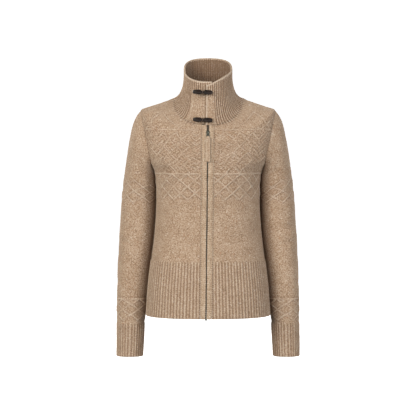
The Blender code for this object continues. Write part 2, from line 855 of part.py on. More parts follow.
def sleeve_place(side):
    """Points and outward normals of a sleeve at unrolled places."""

    def points_at(turn, level):
        def read(name):
            return curve(level, SLEEVE["outer_z"], SLEEVE[name])

        along = 0.5 - 0.5 * power(np.cos(turn), 2 / ROUNDNESS)
        oval = np.abs(np.sin(turn)) ** (2 / ROUNDNESS)
        behind = np.sin(turn) < 0
        loop = np.where(behind, np.interp(along, *ARMHOLE[True]), np.interp(along, *ARMHOLE[False]))
        blend = ease((level - CAP_BLEND) / (TIP - CAP_BLEND))
        depth = read("half_depth") * oval * (1 - blend) + loop * blend
        y = read("middle_y") + np.where(behind, depth, -depth)
        x = read("inner_x") + (read("outer_x") - read("inner_x")) * along
        z = read("inner_z") + (level - read("inner_z")) * along
        return np.stack((x * side, y, z), axis=-1)

    def place(flat):
        turn = flat[:, 0] / SLEEVE_FLAT * 2 * math.pi
        level = flat[:, 1]
        small = 0.004
        points = points_at(turn, level)
        round_it = points_at(turn + small, level) - points_at(turn - small, level)
        above = points_at(turn, np.minimum(level + 0.6, TIP))
        below = points_at(turn, np.maximum(level - 0.6, CUFF))
        return points, unit(np.cross(round_it, above - below)) * side

    return place


def make_sleeve(side, word, material):
    """A sleeve: cap, two lattice bands and a ribbed cuff, closed to a tube under the arm."""
    top_pitch = SLEEVE_FLAT / ARM_DIAMONDS
    low_pitch = SLEEVE_FLAT / LOW_DIAMONDS
    bands = lattice(0, SLEEVE_FLAT, *ARM_LATTICE, top_pitch, 0.0)
    bands += lattice(0, SLEEVE_FLAT, *LOW_LATTICE, low_pitch, 0.0)
    bands += [divided([(0, LOW_LATTICE[0]), (SLEEVE_FLAT, LOW_LATTICE[0])], LONG_STEP)]
    rib = SLEEVE_FLAT / CUFF_RIBS
    levels = (CUFF, CUFF_RIB_TOP - RIB_FADE, CUFF_RIB_TOP)
    places = [k * rib / 2 for k in range(1, CUFF_RIBS * 2)]
    lines = rib_columns(places, CUFF, CUFF_RIB_TOP, levels)
    for line in bands:
        lines += ridge(line)

    def height(flat):
        ribs = rib_height(flat[:, 0] / rib, flat[:, 1], CUFF_RIB_TOP, RIB_RISE)
        return np.maximum(ribs, CABLE_RISE * near(flat, bands))

    around = SLEEVE_FLAT
    heights = [CUFF, (CUFF + CUFF_RIB_TOP) / 2, CUFF_RIB_TOP - RIB_FADE, CUFF_RIB_TOP]
    heights += list(np.linspace(-540, -180, 9)) + list(np.linspace(-155, -45, 6)) + [TIP]
    rise = [(around, v) for v in heights]
    fall = [(0.0, v) for v in reversed(heights)]
    origin, normal = armhole_plane(side)
    runs = [
        (between((0, CUFF), (around, CUFF), 16), level_plane(CUFF, -1), 0.0),
        (rise, None, 0.0),
        (between((around, TIP), (0, TIP), 40), (origin, -normal), SEAM / 2),
        (fall, None, 0.0),
    ]
    sheet = Sheet(f"sleeve_{word}", sleeve_place(side), runs, height)
    outer = grid_points(0, around, LOW_LATTICE[0] + 25, ARM_LATTICE[1] - 22, *ARM_PLAIN_STEP)
    outer += grid_points(0, around, ARM_LATTICE[0] + 12, TIP - 10, *ARM_CAP_STEP)
    inner = grid_points(0, around, CUFF + 50, ARM_LATTICE[1] + 33, *ARM_INNER_STEP)
    inner += grid_points(0, around, ARM_LATTICE[0] - 7, TIP - 14, *ARM_INNER_CAP_STEP)
    outer = inside_outline(outer, sheet.outline, 5)
    inner = inside_outline(inner, sheet.outline, 8)
    return sheet.build(material, lines, outer, inner)


# Collar


def oval(size, turn):
    """Points of a leaning oval round the neck. turn is 0 in front and rises to the right."""
    exponent = 2 / ROUNDNESS
    forward = power(np.cos(turn), exponent)
    ahead = np.clip(forward, 0, 1)
    behind = np.clip(-forward, 0, 1)
    x = size["half_width"] * power(np.sin(turn), exponent)
    y = -size["front"] * ahead + size["back"] * behind
    z = size["side_z"] + (size["front_z"] - size["side_z"]) * ahead
    z = z + (size["back_z"] - size["side_z"]) * behind**NAPE_FLATNESS
    return np.stack((x, y, z), axis=-1)


def neckline(turn):
    """The seam between the body and the collar."""
    wrapped = np.arctan2(np.sin(turn), np.cos(turn))
    front = np.abs(wrapped) <= math.pi / 2
    behind = np.sign(wrapped) * (math.pi - np.abs(wrapped))
    level = np.full(len(turn), NECK)
    front_points = torso(wrapped, level)
    back_points = torso(behind, level, True)
    return np.where(front[:, None], front_points, back_points)


def collar_points(turn, share):
    """The collar's outer face: from the neckline over the flared base up to the rim."""
    degrees = np.degrees(turn)
    foot = neckline(turn)
    elbow = oval(ELBOW, turn)
    rim = oval(RIM, turn)
    dip = LAP_DIP * ease(1 - (degrees - LAP_RIGHT) / LAP_DIP_TURN)
    whole, falls, gone = LAP_RISE_TURN
    swell = LAP_RISE * ease(degrees / whole) * ease((gone - degrees) / (gone - falls))
    rim[:, 2] += np.where(degrees < 180, swell - dip, 0.0)
    share = share[:, None]
    points = foot * (1 - share) ** 2 + 2 * elbow * share * (1 - share) + rim * share**2
    start, end = LAP_FADE
    outward = ease((end - degrees) / (end - start))
    inward = ease((degrees - 360 + end) / (end - start))
    shift = LAP_SHIFT * (outward - inward)
    radial = unit(np.stack((np.sin(turn), -np.cos(turn), np.zeros(len(turn))), axis=-1))
    return points + radial * shift[:, None]


def collar_place(flat):
    """Points and outward normals of the collar at unrolled places."""
    start = math.radians(LAP_RIGHT)
    end = math.radians(LAP_LEFT)
    turn = start + (end - start) * flat[:, 0] / COLLAR_FLAT
    share = np.clip(flat[:, 1] / COLLAR_HIGH, 0, 1)
    small = 0.003
    points = collar_points(turn, share)
    round_it = collar_points(turn + small, share) - collar_points(turn - small, share)
    above = collar_points(turn, np.clip(share + small, 0, 1))
    below = collar_points(turn, np.clip(share - small, 0, 1))
    return points, unit(np.cross(round_it, above - below))


def even_columns(count):
    """Places round the collar that are evenly spaced along its rim."""
    fine = np.linspace(0, COLLAR_FLAT, 800)
    rim, _ = collar_place(np.stack((fine, np.full(800, COLLAR_HIGH)), axis=-1))
    length = np.concatenate(([0], np.cumsum(np.linalg.norm(np.diff(rim, axis=0), axis=1))))
    return np.interp(np.linspace(0, length[-1], count), length, fine)


def make_collar(material):
    """The stand collar: one rib strip round the neck, its right end lapped over its left."""
    places = even_columns(COLLAR_RIBS * 2 + 1)
    levels = [share * COLLAR_HIGH for share in COLLAR_STEPS]
    lines = [[(w, v) for v in levels] for w in places[1:-1]]

    def height(flat):
        rib = np.interp(flat[:, 0], places, np.arange(len(places)) / 2)
        return RIB_RISE * (0.5 - 0.5 * np.cos(2 * math.pi * rib))

    quarter_places = []
    for degrees in (90, 270):
        quarter_places.append(COLLAR_FLAT * (degrees - LAP_RIGHT) / (LAP_LEFT - LAP_RIGHT))
    right, left = quarter_places
    front_plane, back_plane = neck_plane(False), neck_plane(True)
    down = [(origin, -normal) for origin, normal in (front_plane, back_plane)]
    runs = [
        (between((0, 0), (right, 0), 12), down[0], SEAM / 2),
        (between((right, 0), (left, 0), 20), down[1], SEAM / 2),
        (between((left, 0), (COLLAR_FLAT, 0), 12), down[0], SEAM / 2),
        ([(COLLAR_FLAT, v) for v in levels], FREE, 0.0),
        ([(w, COLLAR_HIGH) for w in places[::-1]], FREE, 0.0),
        ([(0.0, v) for v in reversed(levels)], FREE, 0.0),
    ]
    sheet = Sheet("collar", collar_place, runs, height)
    inner = [(w, v) for v in levels[1:-1] for w in places[3:-3:5]]  # the plain inside is sparser
    return sheet.build(material, lines, [], inner)


# Zip, bindings, slider and pull


FRONT = Half(back=False)


def on_placket(away, z, out):
    """A point beside the zip's line, moved out from the front's outer face."""
    flat = np.array([FRONT.seen(zip_x(z) + away, z)])
    points, normals = FRONT.place(flat)
    return points[0] + normals[0] * out


def tube(name, rings, material, smooth=True):
    """A solid through rings of points, closed with a cap at each end."""
    size = len(rings[0])
    faces = [tuple(range(size))[::-1]]
    for k in range(len(rings) - 1):
        for i in range(size):
            j = (i + 1) % size
            low = k * size
            high = low + size
            faces.append((low + i, low + j, high + j, high + i))
    last = (len(rings) - 1) * size
    faces.append(tuple(range(last, last + size)))
    return make_object(name, np.concatenate(rings), faces, material, smooth)


def placket_strip(name, section, top, foot, step, material):
    """A strip along the zip, its section given as distances from the line and out of the cloth."""
    heights = np.linspace(top, foot, max(2, round((top - foot) / step) + 1))
    rings = [np.array([on_placket(away, z, out) for away, out in section]) for z in heights]
    return tube(name, rings, material)


def block(near_edge, far_edge, depths):
    """An oblong section between two distances from the line and two depths in the cloth."""
    front, rear = depths
    return [(near_edge, -front), (far_edge, -front), (far_edge, -rear), (near_edge, -rear)]


def binding_section():
    """The binding's section: sunk sides, and a front that is rounded at its edges."""
    near_edge, far_edge = BINDING
    low_rise, high_rise = BINDING_RISE
    return [
        (near_edge, -BINDING_SINK),
        (near_edge, low_rise),
        (near_edge + BINDING_ROUND, high_rise),
        (far_edge - BINDING_ROUND, high_rise),
        (far_edge, low_rise),
        (far_edge, -BINDING_SINK),
    ]


def make_placket(wool, woven, metal):
    """Bindings, tapes and the zip's chain, on both sides of the line."""
    for side, word in SIDES:

        def strip(name, section, foot, material):
            section = [(away * side, out) for away, out in section]
            placket_strip(f"{name}_{word}", section, ZIP_TOP, foot, ZIP_STEP, material)

        strip("binding", binding_section(), HEM, wool)
        strip("tape", block(*TAPE, TAPE_DEPTH), HEM, woven)
        strip("zip_open", block(CHAIN_NEAR, CHAIN_HALF, CHAIN_DEPTH), SLIDER_Z, metal)
    chain = block(-CHAIN_HALF, CHAIN_HALF, CHAIN_DEPTH)
    placket_strip("zip_chain", chain, SLIDER_Z - SEAM, CHAIN_FOOT, ZIP_STEP, metal)
    rings = []
    for z in (CHAIN_FOOT - SEAM, ZIP_FOOT):
        base = on_placket(0.0, max(z, HEM), 0.0)
        corners = block(-ZIP_END_HALF, ZIP_END_HALF, ZIP_END_DEPTH)
        rings.append(np.array([(base[0] + x, base[1] - out, z) for x, out in corners]))
    tube("zip_end", rings, metal, smooth=False)


class Stand:
    """A place with three ways: across to +X, out of the cloth, and up along it."""

    def __init__(self, origin, out):
        self.origin = origin
        self.across = np.array((1.0, 0.0, 0.0))
        self.out = unit(np.array((0.0, out[1], out[2])))
        self.up = np.cross(self.out, self.across)

    def at(self, across, out, up):
        return self.origin + self.across * across + self.out * out + self.up * up


def slider_stand():
    flat = np.array([FRONT.seen(zip_x(SLIDER_Z), SLIDER_Z)])
    points, normals = FRONT.place(flat)
    return Stand(points[0], normals[0])


def join(thing, other):
    """Boolean union of two solids, applied."""
    union = thing.modifiers.new("join", "BOOLEAN")
    union.operation = "UNION"
    union.solver = "EXACT"
    union.object = other
    graph = bpy.context.evaluated_depsgraph_get()
    mesh = bpy.data.meshes.new_from_object(thing.evaluated_get(graph))
    thing.modifiers.remove(union)
    old = thing.data
    thing.data = mesh
    bpy.data.meshes.remove(old)
    mesh.name = thing.name
    bpy.data.objects.remove(other, do_unlink=True)


def make_slider(stand, metal):
    """The slider: a plate over the bindings, a stem between them, and the crown for the pull."""
    stem, plate = SLIDER_HALVES
    bottom, step, top = SLIDER_OUT
    section = (
        (-stem, bottom),
        (stem, bottom),
        (stem, step),
        (plate, step),
        (plate, top),
        (-plate, top),
        (-plate, step),
        (-stem, step),
    )
    half = SLIDER_LENGTH / 2
    rings = [np.array([stand.at(x, out, up) for x, out in section]) for up in (-half, half)]
    slider = tube("slider", rings, metal, smooth=False)
    leg, hole = CROWN_UP
    roof, crest = CROWN_OUT
    sink = top - CROWN_SINK
    profile = (
        (-leg, sink),
        (-leg, crest),
        (leg, crest),
        (leg, sink),
        (hole, sink),
        (hole, roof),
        (-hole, roof),
        (-hole, sink),
    )
    rings = [
        np.array([stand.at(x, out, up) for up, out in profile]) for x in (-CROWN_HALF, CROWN_HALF)
    ]
    crown = tube("crown", rings, metal, smooth=False)
    join(slider, crown)


def pull_stand(stand):
    """The pull's place: at its crossbar, hanging so that the strip just clears the bindings."""
    pivot = stand.at(0.0, PIVOT_OUT, PIVOT_UP)
    clear = BINDING_RISE[1] + STRIP_SIZE[2] / 2 + STRIP_CLEAR
    reach = LINK_SIZE[1] + STRIP_SIZE[1]
    tilt = 0.0
    for z in np.linspace(pivot[2] - LINK_SIZE[1], pivot[2] - reach, 24):
        over = on_placket(BINDING[0] + 4, z, clear)
        tilt = max(tilt, math.atan2(pivot[1] - over[1], pivot[2] - over[2]))
    return Stand(pivot, np.array((0.0, -math.cos(tilt), math.sin(tilt))))


def make_pull(stand, metal, wool):
    """The pull: a wire link through the crown, and the knitted strip below it."""
    place = pull_stand(stand)
    wide, long = LINK_SIZE
    wire = LINK_WIRE
    outer = block(-wide / 2, wide / 2, (-wire / 2, long - wire / 2))
    inner = [(x * (1 - 2 * wire / wide), up - math.copysign(wire, up)) for x, up in outer]
    points = []
    for out in (wire / 2, -wire / 2):
        points += [place.at(x, out, up) for x, up in outer]
        points += [place.at(x, out, up) for x, up in inner]
    faces = []
    for i in range(4):
        j = (i + 1) % 4
        faces.append((i, j, j + 4, i + 4))
        faces.append((i + 8, i + 12, j + 12, j + 8))
        faces.append((i, i + 8, j + 8, j))
        faces.append((i + 4, j + 4, j + 12, i + 12))
    make_object("pull_link", np.array(points), faces, metal, smooth=False)
    strip_wide, strip_long, thick = STRIP_SIZE
    bevel = thick * STRIP_BEVEL
    half = strip_wide / 2
    section = (
        (-half, -thick / 2 + bevel),
        (-half + bevel, -thick / 2),
        (half - bevel, -thick / 2),
        (half, -thick / 2 + bevel),
        (half, thick / 2 - bevel),
        (half - bevel, thick / 2),
        (-half + bevel, thick / 2),
        (-half, thick / 2 - bevel),
    )
    start = wire / 2 - long - SEAM
    rings = []
    for share, size in STRIP_RINGS:
        up = start - strip_long * share
        rings.append(np.array([place.at(x * size, out * size, up) for x, out in section]))
    tube("pull_strip", rings, wool)


# Toggles


def collar_front(x, z):
    """The outermost y of the collar's front near x and z."""
    turns = np.concatenate((np.linspace(LAP_RIGHT, 40, 130), np.linspace(310, LAP_LEFT, 170)))
    shares = np.linspace(0, 1, 60)
    grid_turn, grid_share = np.meshgrid(np.radians(turns), shares)
    points = collar_points(grid_turn.ravel(), grid_share.ravel())
    close = (np.abs(points[:, 0] - x) < 1.2) & (np.abs(points[:, 2] - z) < 2.5)
    return points[close, 1].min() - RIB_RISE


def make_toggle(word, z, horn, cord):
    """A turned toggle with fluted halves, and the cord loop round its groove."""
    lean = math.radians(TOGGLE_TILT)
    along = np.array((math.cos(lean), 0.0, math.sin(lean)))
    rise = np.array((-math.sin(lean), 0.0, math.cos(lean)))
    out = np.array((0.0, -1.0, 0.0))
    lead = min(
        collar_front(TOGGLE_X + s * math.cos(lean), z + s * math.sin(lean)) - radius
        for s, radius in TOGGLE_PROFILE
    )
    centre = np.array((TOGGLE_X, lead - SEAM, z))
    sides = TOGGLE_FLUTES * 2
    rings = []
    for s, radius in TOGGLE_PROFILE:
        ring = []
        for k in range(sides):
            turn = 2 * math.pi * k / sides
            size = radius * (1 - FLUTE_DEPTH * (k % 2))
            ring.append(centre + along * s + (out * math.cos(turn) + rise * math.sin(turn)) * size)
        rings.append(np.array(ring))
    tube(f"toggle_{word}", rings, horn)
    bend = TOGGLE_GROOVE + LOOP_CORD + SEAM
    root = centre[1] - collar_front(TOGGLE_X, z) + SEAM + LOOP_CORD * 0.2
    path = [(root, bend)]
    path += [(bend * math.sin(a), bend * math.cos(a)) for a in np.linspace(0, math.pi, 8)]
    path += [(root, -bend)]
    rings = []
    for i, (a, b) in enumerate(path):
        before = path[max(i - 1, 0)]
        after = path[min(i + 1, len(path) - 1)]
        heading = math.atan2(after[1] - before[1], after[0] - before[0])
        ring = []
        for k in range(6):
            turn = 2 * math.pi * k / 6
            in_plane = LOOP_CORD * math.sin(turn)
            place = centre + out * (a - in_plane * math.sin(heading))
            place = place + rise * (b + in_plane * math.cos(heading)) + along * LOOP_CORD * math.cos(turn)
            ring.append(place)
        rings.append(np.array(ring))
    tube(f"loop_{word}", rings, cord)


def main():
    for thing in list(bpy.data.objects):
        bpy.data.objects.remove(thing, do_unlink=True)
    wool = finish("oatmeal_wool", (0.48, 0.33, 0.22), 0.95)
    woven = finish("zip_tape", (0.10, 0.08, 0.07), 0.8)
    metal = finish("dark_metal", (0.10, 0.10, 0.10), 0.4, 1.0)
    horn = finish("dark_horn", (0.03, 0.02, 0.016), 0.35)
    cord = finish("brown_cord", (0.08, 0.05, 0.035), 0.8)
    make_back(wool)
    for side, word in SIDES:
        make_front(side, word, wool)
        make_sleeve(side, word, wool)
    make_collar(wool)
    make_placket(wool, woven, metal)
    stand = slider_stand()
    make_slider(stand, metal)
    make_pull(stand, metal, wool)
    for word, z in TOGGLE_HEIGHTS.items():
        make_toggle(word, z, horn, cord)


main()
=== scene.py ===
# %% Load the frame
import json
import math

import bmesh
import bpy
import numpy as np
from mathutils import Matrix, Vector


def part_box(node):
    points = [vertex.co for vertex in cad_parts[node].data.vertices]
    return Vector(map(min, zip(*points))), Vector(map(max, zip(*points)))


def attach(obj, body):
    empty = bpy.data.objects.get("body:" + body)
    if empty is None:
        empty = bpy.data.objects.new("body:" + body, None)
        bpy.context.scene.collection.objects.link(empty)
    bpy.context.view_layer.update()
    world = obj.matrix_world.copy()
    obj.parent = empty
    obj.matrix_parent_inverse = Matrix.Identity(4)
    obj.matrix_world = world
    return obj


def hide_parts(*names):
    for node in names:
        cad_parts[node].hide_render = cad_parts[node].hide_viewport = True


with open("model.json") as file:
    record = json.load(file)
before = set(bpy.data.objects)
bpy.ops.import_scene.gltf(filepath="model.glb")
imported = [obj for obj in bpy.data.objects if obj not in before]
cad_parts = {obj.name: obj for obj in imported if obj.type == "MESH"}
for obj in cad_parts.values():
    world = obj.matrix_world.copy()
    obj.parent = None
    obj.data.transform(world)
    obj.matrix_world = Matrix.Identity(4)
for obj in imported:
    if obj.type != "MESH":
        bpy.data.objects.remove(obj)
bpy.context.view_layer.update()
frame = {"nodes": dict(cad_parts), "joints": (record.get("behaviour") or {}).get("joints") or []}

# %% [markdown]
# A cable knit cardigan: two fronts, a back, two sleeves and a stand collar, knitted separately and
# sewn together, with a zip between two knitted bindings and two horn toggles on the collar.
# The loaded frame holds a plain solid for each piece. This script dresses each one: knitted
# cloth becomes a finer shell on the same shape, and trims get their small parts.
# Lengths are millimetres until a mesh is made, because knitters and zip makers count in them.

# %% Units and names
MM = 0.001
SIDES = ((-1, "left"), (1, "right"))  # left and right as the viewer sees the front
SHIRT = "cardigan"  # the body that all the cloth rides on
PULL = "zip_pull"  # the body that swings


def add_object(name, data):
    """A new object of the scene, which shows a mesh or holds a light or the camera."""
    thing = bpy.data.objects.new(name, data)
    bpy.context.scene.collection.objects.link(thing)
    return thing


print("bodies:", SHIRT, "and", PULL)

# %% [markdown]
# The camera looks straight at the front from a little above the middle, with a long lens, as for a
# shop's picture of clothes. A long lens far away keeps the near and far parts the same size.

# %% Camera
CAMERA_PLACE = Vector((0.0, -4.5, -0.059))
CAMERA_AIM = Vector((0.0, 0.0, -0.281))
LENS = 150.2  # on a 36 mm sensor

camera_data = bpy.data.cameras.new("camera")
camera_data.lens = LENS
camera_data.sensor_width = 36.0
camera = add_object("camera", camera_data)
camera.location = CAMERA_PLACE
camera.rotation_euler = (CAMERA_AIM - CAMERA_PLACE).to_track_quat("-Z", "Y").to_euler()
bpy.context.scene.camera = camera
print("camera to garment:", round((CAMERA_AIM - CAMERA_PLACE).length, 3), "m")

# %% [markdown]
# Colours are written as hex values, as a paint program shows them. Blender's shaders want linear
# light, so one function turns each pair of digits into a share and undoes the sRGB curve.
# A second function adds a shader node: its settings, its plain values and its links in one call.


# %% Colour and node helpers
def linear(hex_colour):
    """RGBA in linear light from a colour such as #C8AD90."""
    shares = [int(hex_colour[i : i + 2], 16) / 255 for i in (1, 3, 5)]
    return tuple(c / 12.92 if c <= 0.04045 else ((c + 0.055) / 1.055) ** 2.4 for c in shares) + (1.0,)


def add(tree, kind, values=None, links=None, **settings):
    """A new node with settings, values for its sockets, and links into them."""
    node = tree.nodes.new("ShaderNode" + kind)
    for name, value in settings.items():
        setattr(node, name, value)
    for socket, value in (values or {}).items():
        node.inputs[socket].default_value = value
    for socket, source in (links or {}).items():
        tree.links.new(source, node.inputs[socket])
    return node


def new_material(name, **values):
    """A material with a Principled shader, its plain values set on the shader's own sockets."""
    material = bpy.data.materials.new(name)
    material.use_nodes = True
    shader = material.node_tree.nodes["Principled BSDF"]
    for socket, value in values.items():
        shader.inputs[socket.replace("_", " ")].default_value = value
    return material, material.node_tree, shader


print("oat in linear light:", [round(c, 3) for c in linear("#C8AD90")[:3]])

# %% [markdown]
# The studio is a very wide pale floor whose edge curves up far behind the camera's path, so the
# garment can be looked at from every side with no horizon. The floor lies below the cuffs, since
# the garment is held up from inside. It is painted board: rough, nearly white, no gloss.

# %% Floor and backdrop
FLOOR_Z = -0.95
FLOOR_RADIUS = 9.0
BEND_RADIUS = 4.0
WALL_TOP = 9.0
BEND_STEPS = 16
ROUND_STEPS = 96

board, _, board_shader = new_material("painted_board", Roughness=0.9, Emission_Strength=0.9)
board_shader.inputs["Base Color"].default_value = linear("#F2F1EF")
board_shader.inputs["Emission Color"].default_value = linear("#FFFFFF")
board_shader.inputs["Specular IOR Level"].default_value = 0.1

profile = [(0.0, 0.0), (FLOOR_RADIUS * 0.5, 0.0), (FLOOR_RADIUS, 0.0)]
for turn in np.linspace(0, math.pi / 2, BEND_STEPS)[1:]:
    profile.append((FLOOR_RADIUS + BEND_RADIUS * math.sin(turn), BEND_RADIUS * (1 - math.cos(turn))))
profile.append((FLOOR_RADIUS + BEND_RADIUS, WALL_TOP))
studio = bmesh.new()
spun = [studio.verts.new((x, 0.0, FLOOR_Z + z)) for x, z in profile]
edges = [studio.edges.new(pair) for pair in zip(spun[:-1], spun[1:])]
bmesh.ops.spin(studio, geom=spun + edges, axis=(0, 0, 1), steps=ROUND_STEPS, angle=2 * math.pi)
bmesh.ops.remove_doubles(studio, verts=studio.verts, dist=1e-4)
bmesh.ops.recalc_face_normals(studio, faces=studio.faces)
floor_mesh = bpy.data.meshes.new("studio_floor")
studio.to_mesh(floor_mesh)
studio.free()
floor_mesh.materials.append(board)
floor_mesh.shade_smooth()
floor = add_object("studio_floor", floor_mesh)
floor.visible_diffuse = False  # the wide floor doesn't light the garment from below
floor.visible_shadow = False  # and lets the world's light through
print("studio floor:", len(floor_mesh.polygons), "faces")

# %% [markdown]
# Light for cloth is soft and comes from large panels. The main panel stands at the front left,
# a weaker one at the right, one above, and one behind on each side for the other views. The world
# gives the little that is left. Large panels make soft shade in the folds and under the arms.

# %% Lights
WORLD_LIGHT = 0.17
PANELS = (  # name, place, size, watts, colour
    ("key", (-2.5, -3.6, 1.1), 2.8, 250, "#FFFDFA"),
    ("fill", (2.6, -3.6, 0.3), 2.8, 142, "#FBFCFF"),
    ("top", (0.0, -0.6, 3.2), 2.6, 8, "#FFFFFF"),
    ("back_left", (-2.8, 3.2, 1.3), 2.2, 84, "#FFFFFF"),
    ("back_right", (2.8, 3.2, 1.3), 2.2, 84, "#FFFFFF"),
)
for name, place, size, watts, tint in PANELS:
    panel_data = bpy.data.lights.new(name, "AREA")
    panel_data.shape = "SQUARE"
    panel_data.size = size
    panel_data.energy = watts
    panel_data.color = linear(tint)[:3]
    panel = add_object(name, panel_data)
    panel.location = place
    panel.rotation_euler = (CAMERA_AIM - Vector(place)).to_track_quat("-Z", "Y").to_euler()
    panel.visible_camera = False

world = bpy.data.worlds.new("studio")
world.use_nodes = True
world.node_tree.nodes["Background"].inputs["Color"].default_value = linear("#FFFFFF")
world.node_tree.nodes["Background"].inputs["Strength"].default_value = WORLD_LIGHT
bpy.context.scene.world = world
bpy.context.scene.view_settings.view_transform = "Standard"
print("light panels:", len(PANELS))

# %% [markdown]
# The yarn is a marl: brushed lambswool spun from oat, camel and brown fleece with a few rust and
# cream fibres, so no two stitches have the same colour. Its colour starts as noise with tufts of
# 2.6 mm, which a ramp turns into the three fleeces. Clouds of 24 mm shift it a little, and a
# second noise lays rust and cream over it in rare spots. One helper lays a colour over another.

# %% Marl colours
FLECK = 2.6  # mm across one tuft of one colour
CLOUD = 24.0  # mm across a patch where one fleece prevails
CLOUD_SHARE = 0.14
RARE_FLECK = 1.6 * FLECK


def laid_over(tree, colour, hex_colour, value, start, end, most):
    """A colour under another, whose share grows to most as value goes from start to end."""
    span = {"From Min": start, "From Max": end, "To Max": most}
    share = add(tree, "MapRange", span, {"Value": value})
    links = {0: share.outputs["Result"], 6: colour}
    return add(tree, "Mix", {7: linear(hex_colour)}, links, data_type="RGBA").outputs[2]


def marl_colour(tree, spot, dark, middle, light):
    """The yarn's colour: three fleeces and rare fibres. spot links a noise to its place."""
    tufts = add(tree, "TexNoise", {"Scale": 1 / (FLECK * MM), "Detail": 3.0, "Roughness": 0.62}, spot)
    clouds = add(tree, "TexNoise", {"Scale": 1 / (CLOUD * MM), "Detail": 2.0}, spot)
    both = {0: clouds.outputs["Fac"], 2: tufts.outputs["Fac"]}
    mixed = add(tree, "Math", {1: CLOUD_SHARE}, both, operation="MULTIPLY_ADD")
    ramp = add(tree, "ValToRGB", links={"Fac": mixed.outputs[0]})
    stops = ramp.color_ramp.elements
    stops[0].position = 0.36
    stops[0].color = linear(dark)
    stops[1].position = 0.80
    stops[1].color = linear(light)
    stops.new(0.57).color = linear(middle)
    sizes = {"Scale": 1 / (RARE_FLECK * MM), "Detail": 1.0, "W": 3.0}
    rare = add(tree, "TexNoise", sizes, spot, noise_dimensions="4D").outputs["Fac"]
    rusty = laid_over(tree, ramp.outputs["Color"], "#9B6441", rare, 0.66, 0.76, 0.5)
    return laid_over(tree, rusty, "#D1C5B6", rare, 0.36, 0.26, 0.55)


print("tufts:", FLECK, "mm, clouds:", CLOUD, "mm, rare fibres:", RARE_FLECK, "mm")

# %% [markdown]
# The knit's V-shaped stitches are drawn 4.4 mm wide and 3.5 mm high. The real gauge is nearer
# 3 mm, which a picture of the whole garment couldn't show. A map named "knit" gives each piece's
# unrolled place in millimetres, so stitches run along the cloth. The cosine of a slanted phase
# makes a V's two legs, a second cosine the groove between columns of them, and slow noise
# disorders them a little, as brushing does.

# %% Stitches
STITCH_WIDE = 4.4
STITCH_HIGH = 3.5
WANDER = 2.2  # mm across which brushing moves a stitch


def knit_stitches(tree):
    """The height of the stitches on the unrolled cloth."""
    cloth = add(tree, "UVMap", uv_map="knit").outputs["UV"]
    noise = add(tree, "TexNoise", {"Scale": 0.16, "Detail": 1.0}, {"Vector": cloth})
    shift = add(tree, "VectorMath", {1: (0.5, 0.5, 0.5)}, {0: noise.outputs["Color"]}, operation="SUBTRACT")
    drift = add(tree, "VectorMath", {1: (WANDER, WANDER, 0.0)}, {0: shift.outputs[0]}, operation="MULTIPLY")
    moved = add(tree, "VectorMath", links={0: cloth, 1: drift.outputs[0]}, operation="ADD")
    split = add(tree, "SeparateXYZ", links={0: moved.outputs[0]})
    column = add(tree, "Math", {1: STITCH_WIDE}, {0: split.outputs["X"]}, operation="DIVIDE")
    leg = add(tree, "Math", {1: 0.5}, {0: column.outputs[0]}, operation="PINGPONG")
    row = add(tree, "Math", {1: STITCH_HIGH}, {0: split.outputs["Y"]}, operation="DIVIDE")
    slant = add(tree, "Math", {1: -1.5}, {0: leg.outputs[0], 2: row.outputs[0]}, operation="MULTIPLY_ADD")
    turn = add(tree, "Math", {1: 2 * math.pi}, {0: slant.outputs[0]}, operation="MULTIPLY")
    legs = add(tree, "Math", links={0: turn.outputs[0]}, operation="COSINE")
    gutter = add(tree, "Math", {1: 4 * math.pi}, {0: column.outputs[0]}, operation="MULTIPLY")
    groove = add(tree, "Math", links={0: gutter.outputs[0]}, operation="COSINE")
    both = {0: groove.outputs[0], 2: legs.outputs[0]}
    return add(tree, "Math", {1: -0.8}, both, operation="MULTIPLY_ADD").outputs[0]


print("stitches in 100 mm:", round(100 / STITCH_WIDE, 1), "across and", round(100 / STITCH_HIGH, 1), "up")

# %% [markdown]
# Wool has an IOR near 1.55 and no gloss, and its loose fibres catch light at grazing angles,
# which Blender calls sheen. Each mesh carries a value of painted light and shade: 1 on the crest of
# a cable or rib, which is painted lighter as a painted highlight, -1 in the valley beside it, which
# is painted darker as painted shade. The body's knit is brushed; the bindings are knitted tighter,
# so their stitches stand less high.


# %% Marl wool
def marl_wool(name, dark, middle, light, depth=1.0):
    """Marl wool knit. depth scales the stitches' bump."""
    wool, tree, shader = new_material(name, Roughness=0.92, IOR=1.55, Sheen_Weight=0.3, Sheen_Roughness=0.45)
    shader.inputs["Specular IOR Level"].default_value = 0.15
    shader.inputs["Sheen Tint"].default_value = linear("#F0DCC4")
    spot = {"Vector": add(tree, "TexCoord").outputs["Object"]}
    painted_shading = add(tree, "Attribute", attribute_name="painted_shading").outputs["Fac"]
    stitches = knit_stitches(tree)
    colour = marl_colour(tree, spot, dark, middle, light)
    colour = laid_over(tree, colour, "#D3C6B5", painted_shading, 0.0, 1.0, 0.48)  # painted highlight on the crests
    colour = laid_over(tree, colour, "#5C4331", painted_shading, 0.0, -1.0, 0.8)  # painted shade in the valleys
    colour = laid_over(tree, colour, "#6E5541", stitches, 0.2, -1.8, 0.22)  # painted shade in the gaps between stitches
    fuzz = add(tree, "TexNoise", {"Scale": 1 / (1.5 * MM), "Detail": 3.0, "Roughness": 0.7}, spot)
    rough = add(tree, "Math", {1: 3.2}, {0: fuzz.outputs["Fac"], 2: stitches}, operation="MULTIPLY_ADD")
    depths = {"Strength": 0.55 * depth, "Distance": 0.45 * MM}
    bump = add(tree, "Bump", depths, {"Height": rough.outputs[0]})
    tree.links.new(colour, shader.inputs["Base Color"])
    tree.links.new(bump.outputs["Normal"], shader.inputs["Normal"])
    return wool


